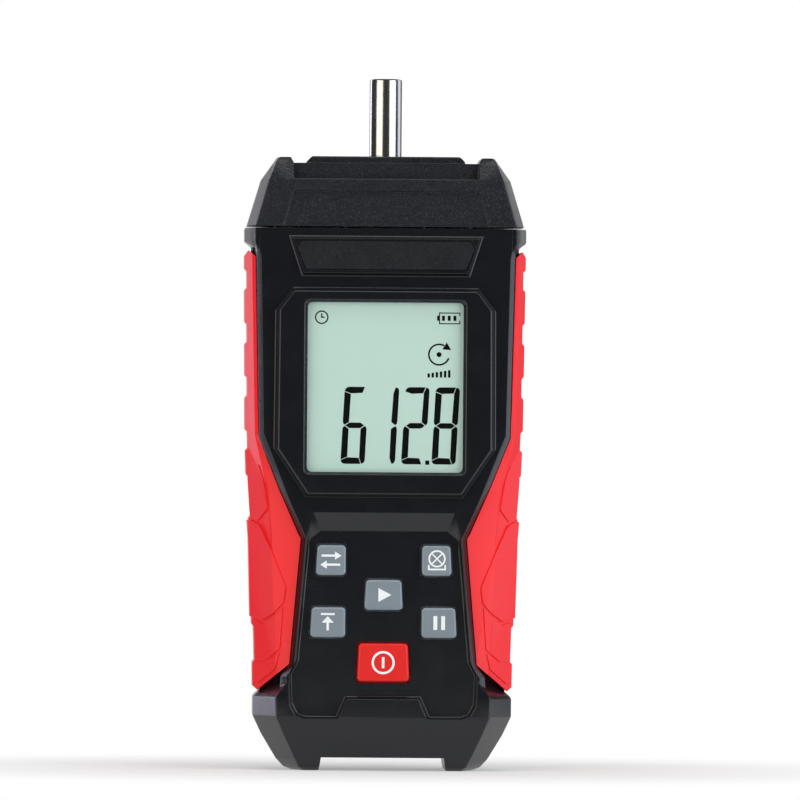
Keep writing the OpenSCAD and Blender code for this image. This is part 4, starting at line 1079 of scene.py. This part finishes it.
class TACHOMETER_OT_screws(Build, bpy.types.Operator):
    """Set cross-recess screws wherever the frame has screws, and ribs on the battery door"""
    bl_idname = "tachometer.screws"
    bl_label = "Screws and door ribs"

    def build(self, sizes, studio):
        tree = screw_growth()
        for node in ("case_screws", "nose_screws", "main_board_screws",
                     "sensor_board_screws", "retainer_screws", "door_screw"):
            screws = screws_of(node)
            mesh = bpy.data.meshes.new(node)
            mesh.from_pydata([s[0] for s in screws], [], [])
            turn = mesh.attributes.new("turn", "FLOAT_VECTOR", "POINT")
            for value, screw in zip(turn.data, screws):
                value.vector = screw[1].to_track_quat("Z", "Y").to_euler()
            radius, height, shank, length = [value / MM for value in screws[0][2:]]
            piece = grown("cross_recess_" + node, tree, mesh, {
                "Head radius": radius, "Head height": height, "Shank radius": shank,
                "Length": length, "Recess width": radius * 0.3, "Seed": studio.seed,
                "Finish": FINISH["screw"]})
            dress(piece, body_of(node), "screw_steel", "screw", node)
        ribs = grown("door_ribs", rib_growth(), bpy.data.meshes.new("door_ribs"), {
            "Rise": sizes.rib_rise, "Finish": FINISH["case"]})
        door_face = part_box("battery_door")[1].y
        shift = Vector((0, door_face - sizes.rib_rise, RIBS_FOOT * MM))
        for vert in ribs.data.vertices:
            vert.co += shift
        dress(ribs, body_of("battery_door"), "case_black", "case")


class TACHOMETER_OT_cells(Build, bpy.types.Operator):
    """Turn the three cells: sleeve, steel can and button"""
    bl_idname = "tachometer.cells"
    bl_label = "Cells"

    def build(self, sizes, studio):
        for node in ("left_cell", "middle_cell", "right_cell"):
            low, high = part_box(node)
            x, y = (low.x + high.x) / 2 / MM, (low.y + high.y) / 2 / MM
            foot, top, r = low.z / MM, high.z / MM, (high.x - low.x) / 2 / MM
            ends = [max(math.hypot(v.co.x / MM - x, v.co.y / MM - y)
                        for v in frame["nodes"][node].data.vertices
                        if abs(v.co.z / MM - level) < 0.05) for level in (foot, top)]
            up = ends[1] < ends[0]
            long = top - foot
            neck = long - 1.0
            # Both as (radius, way from the flat end)
            can = [(0, 0.25), (r - 2.4, 0.25), (r - 2.2, 0.05), (r - 0.9, 0.05),
                   (r - 0.3, 0.45), (r - 0.22, 0.9), (r - 0.22, neck - 0.7),
                   (r - 0.35, neck - 0.35), (r - 1.2, neck), (2.75, neck),
                   (2.65, long - 0.25), (2.4, long), (0, long)]
            sleeve = [(r - 0.9, 0.0), (r - 0.2, 0.1), (r, 0.5), (r, neck - 0.45),
                      (r - 0.25, neck - 0.1), (r - 1.1, neck + 0.05), (r - 1.1, neck - 0.1),
                      (r - 0.3, neck - 0.4), (r - 0.2, neck - 0.6), (r - 0.2, 0.6),
                      (r - 0.4, 0.25), (r - 0.9, 0.15), (r - 0.9, 0.0)]
            for name, points, slot, finish, stands_for in (
                    ("_can", can, "contact_steel", "contact", ()),
                    ("_sleeve", sleeve, "cell_sleeve", "cell", (node,))):
                bm = bmesh.new()
                lathe(bm, [(q, foot + h if up else top - h) for q, h in points], 64, (x, y))
                bmesh.ops.remove_doubles(bm, verts=bm.verts, dist=1e-6)
                dress(finished(node + name, bm, smooth=35), body_of(node), slot, finish,
                      *stands_for)


class TACHOMETER_OT_inner_parts(Build, bpy.types.Operator):
    """Give every carried-over node its own finish"""
    bl_idname = "tachometer.inner_parts"
    bl_label = "Inner parts"

    def build(self, sizes, studio):
        for finish, nodes in {
                "window": "display_window",
                "display": "display_glass",
                "backlight": "display_backlight",
                "zebra": "display_connectors",
                "board": "main_board sensor_board",
                "chip": "board_chips light_barrier light_receiver",
                "mat": "keypad_mat",
                "bearing": "front_bearing_outer_race front_bearing_inner_race "
                           "front_bearing_balls rear_bearing_outer_race "
                           "rear_bearing_inner_race rear_bearing_balls race_spacer "
                           "race_sleeve",
                "retainer": "bearing_retainer",
                "screw": "disc_set_screw",
                "disc": "slotted_disc",
                "ribbon": "sensor_ribbon",
                "laser": "laser_module",
                "optic": "laser_window receiver_window",
                "contact": "battery_springs battery_contacts"}.items():
            for node in nodes.split():
                for socket in frame["nodes"][node].material_slots:
                    socket.link = "OBJECT"
                    socket.material = FINISH[finish]


# Lamps: azimuth from the camera's side, elevation, distance, width, height, watts, tint
LAMPS = {
    "left_softbox": (-46, 6, 1.1, 0.9, 1.2, 6.7, "#FFF9EC"),
    "right_softbox": (50, 6, 1.1, 0.9, 1.2, 9.5, "#F6F8FF"),
    "left_strip": (-132, 4, 0.9, 0.2, 1.0, 2.4, "#EDE8FF"),
    "right_strip": (112, 4, 0.9, 0.5, 1.0, 2.1, "#E8F0FF"),
    "top_softbox": (0, 70, 0.9, 0.9, 0.5, 3.2, "#FFFFFF"),
}
AIM = Vector((0, 0, 0.09))  # what the lamps point at
FLOOR_RADIUS = 0.26
FLOOR_FADE = (0.03, 0.17, 0.35)  # where it starts and ends to turn white, and from how much
# The square image: its side, and the column and the row of the middle between the feet
IMAGE_SIDE, FEET_COLUMN, FEET_ROW = 800, 385.08, 771.2
FRONT_FACE = -0.017  # depth of the face that pixels_per_mm belongs to


def ramp(tree, value, start, end, low=0.0):
    """A smooth rise from low to 1 between two values."""
    return add(tree, "ShaderNodeMapRange", {
        "Value": value, 1: start, 2: end, 3: low, 4: 1.0}, interpolation_type="SMOOTHSTEP")


def paper_floor():
    """Pale floor that fades into the white ground away from the part."""
    bm = bmesh.new()
    bmesh.ops.create_circle(bm, cap_ends=True, radius=FLOOR_RADIUS, segments=96)
    floor = finished("studio_floor", bm)
    if floor.data.polygons[0].normal.z < 0:
        floor.data.flip_normals()
    material, tree = new_tree("pale_paper_floor")
    place = add(tree, "ShaderNodeTexCoord").outputs["Object"]
    far = add(tree, "ShaderNodeVectorMath", {0: place}, operation="LENGTH")
    ray = add(tree, "ShaderNodeLightPath").outputs
    seen = calc(tree, "MAXIMUM", ray["Is Camera Ray"], ray["Is Glossy Ray"])
    seen = calc(tree, "MAXIMUM", seen, ray["Is Transmission Ray"])
    fade = ramp(tree, far.outputs["Value"], *FLOOR_FADE)
    fibre = add(tree, "ShaderNodeTexNoise", {"Vector": place, "Scale": 900.0})
    bump = add(tree, "ShaderNodeBump", {"Height": fibre, "Distance": 0.02 * MM})
    paper = add(tree, "ShaderNodeBsdfPrincipled", {
        "Base Color": shaded(linear("#F7F7F6"), 1), "Roughness": 0.7,
        "Normal": bump})
    white = add(tree, "ShaderNodeEmission", {"Color": (1, 1, 1, 1), "Strength": 1.0})
    both = add(tree, "ShaderNodeMixShader", {
        0: calc(tree, "MULTIPLY", seen, fade), 1: paper, 2: white})
    add(tree, "ShaderNodeOutputMaterial", {"Surface": both})
    floor.data.materials.append(material)


def studio_room(scene, studio):
    """World: white to the camera, soft where it lights, dim where a polished surface
    mirrors it, and white again in the mirror far behind the part."""
    scene.world = bpy.data.worlds.new("studio_room")
    scene.world.use_nodes = True
    tree = scene.world.node_tree
    tree.nodes.clear()
    way = add(tree, "ShaderNodeTexCoord").outputs["Generated"]
    parts = add(tree, "ShaderNodeSeparateXYZ", {0: way})
    behind = ramp(tree, parts.outputs["Y"], 0.82, 0.97)
    ray = add(tree, "ShaderNodeLightPath").outputs
    mirror = calc(tree, "MAXIMUM", ray["Is Glossy Ray"], ray["Is Transmission Ray"])
    white = calc(tree, "MAXIMUM", ray["Is Camera Ray"], calc(tree, "MULTIPLY", mirror, behind))
    room = add(tree, "ShaderNodeMapRange", {
        "Value": mirror, 3: studio.ambient, 4: studio.mirrored})
    level = add(tree, "ShaderNodeMix", {"Factor": white, 2: room, 3: 1.0}, data_type="FLOAT")
    glow = add(tree, "ShaderNodeBackground", {"Color": (1, 1, 1, 1), "Strength": level})
    add(tree, "ShaderNodeOutputWorld", {"Surface": glow})


class TACHOMETER_OT_stage(Build, bpy.types.Operator):
    """Set up the floor, the lamps, the room's light and the camera"""
    bl_idname = "tachometer.stage"
    bl_label = "Studio"

    def build(self, sizes, studio):
        scene = bpy.context.scene
        scene.view_settings.view_transform = "Standard"
        paper_floor()
        studio_room(scene, studio)
        for name, (turn, rise, away, wide, tall, watts, tint) in LAMPS.items():
            light = bpy.data.lights.new(name, "AREA")
            light.shape = "RECTANGLE"
            light.size, light.size_y = wide, tall
            light.energy = watts * studio.lamp_level
            light.color = linear(tint)
            lamp = placed(name, light)
            a, e = math.radians(turn), math.radians(rise)
            lamp.location = AIM + away * Vector((math.sin(a) * math.cos(e),
                                                 -math.cos(a) * math.cos(e), math.sin(e)))
            lamp.rotation_euler = (AIM - lamp.location).to_track_quat("-Z", "Y").to_euler()

        lens = bpy.data.cameras.new("studio_camera")
        pixel = MM / studio.pixels_per_mm
        lens.sensor_width = 36
        lens.lens = lens.sensor_width * studio.distance / (IMAGE_SIDE * pixel)
        lens.clip_end = 20
        camera = placed("studio_camera", lens)
        centre = Vector(((IMAGE_SIDE / 2 - FEET_COLUMN) * pixel, FRONT_FACE,
                         (FEET_ROW - IMAGE_SIDE / 2) * pixel))
        back = Vector((-math.sin(studio.yaw), -math.cos(studio.yaw), 0))
        camera.location = centre + back * studio.distance
        turn = (-back).to_track_quat("-Z", "Y").to_matrix() @ Matrix.Rotation(
            studio.roll, 3, "Z")
        camera.rotation_euler = turn.to_euler()
        scene.camera = camera


PIECES = (TACHOMETER_OT_shells, TACHOMETER_OT_grips, TACHOMETER_OT_keys,
          TACHOMETER_OT_display, TACHOMETER_OT_shaft, TACHOMETER_OT_screws,
          TACHOMETER_OT_cells, TACHOMETER_OT_inner_parts, TACHOMETER_OT_stage)


class TACHOMETER_PT_pieces(bpy.types.Panel):
    """Lists the pieces and the values that shape them"""
    bl_idname = "TACHOMETER_PT_pieces"
    bl_label = "Contact tachometer"
    bl_space_type = "VIEW_3D"
    bl_region_type = "UI"
    bl_category = "Tachometer"

    def draw(self, context):
        for group in (context.scene.tachometer_colours, context.scene.tachometer_sizes,
                      context.scene.tachometer_studio):
            box = self.layout.box()
            for name in group.__annotations__:
                box.prop(group, name)
        for piece in PIECES:
            self.layout.operator(piece.bl_idname)


GROUPS = {"tachometer_colours": TachometerColours, "tachometer_sizes": TachometerSizes,
          "tachometer_studio": TachometerStudio}
FINISH = {}


def register():
    for kind in (*GROUPS.values(), *PIECES, TACHOMETER_PT_pieces):
        bpy.utils.register_class(kind)
    for name, kind in GROUPS.items():
        setattr(bpy.types.Scene, name, bpy.props.PointerProperty(type=kind))


def unregister():
    for name in GROUPS:
        delattr(bpy.types.Scene, name)
    for kind in reversed((*GROUPS.values(), *PIECES, TACHOMETER_PT_pieces)):
        bpy.utils.unregister_class(kind)


def main():
    register()
    FINISH.update(materials())
    for piece in PIECES:
        area, name = piece.bl_idname.split(".")
        getattr(getattr(bpy.ops, area), name)()


if __name__ == "__main__":
    main()
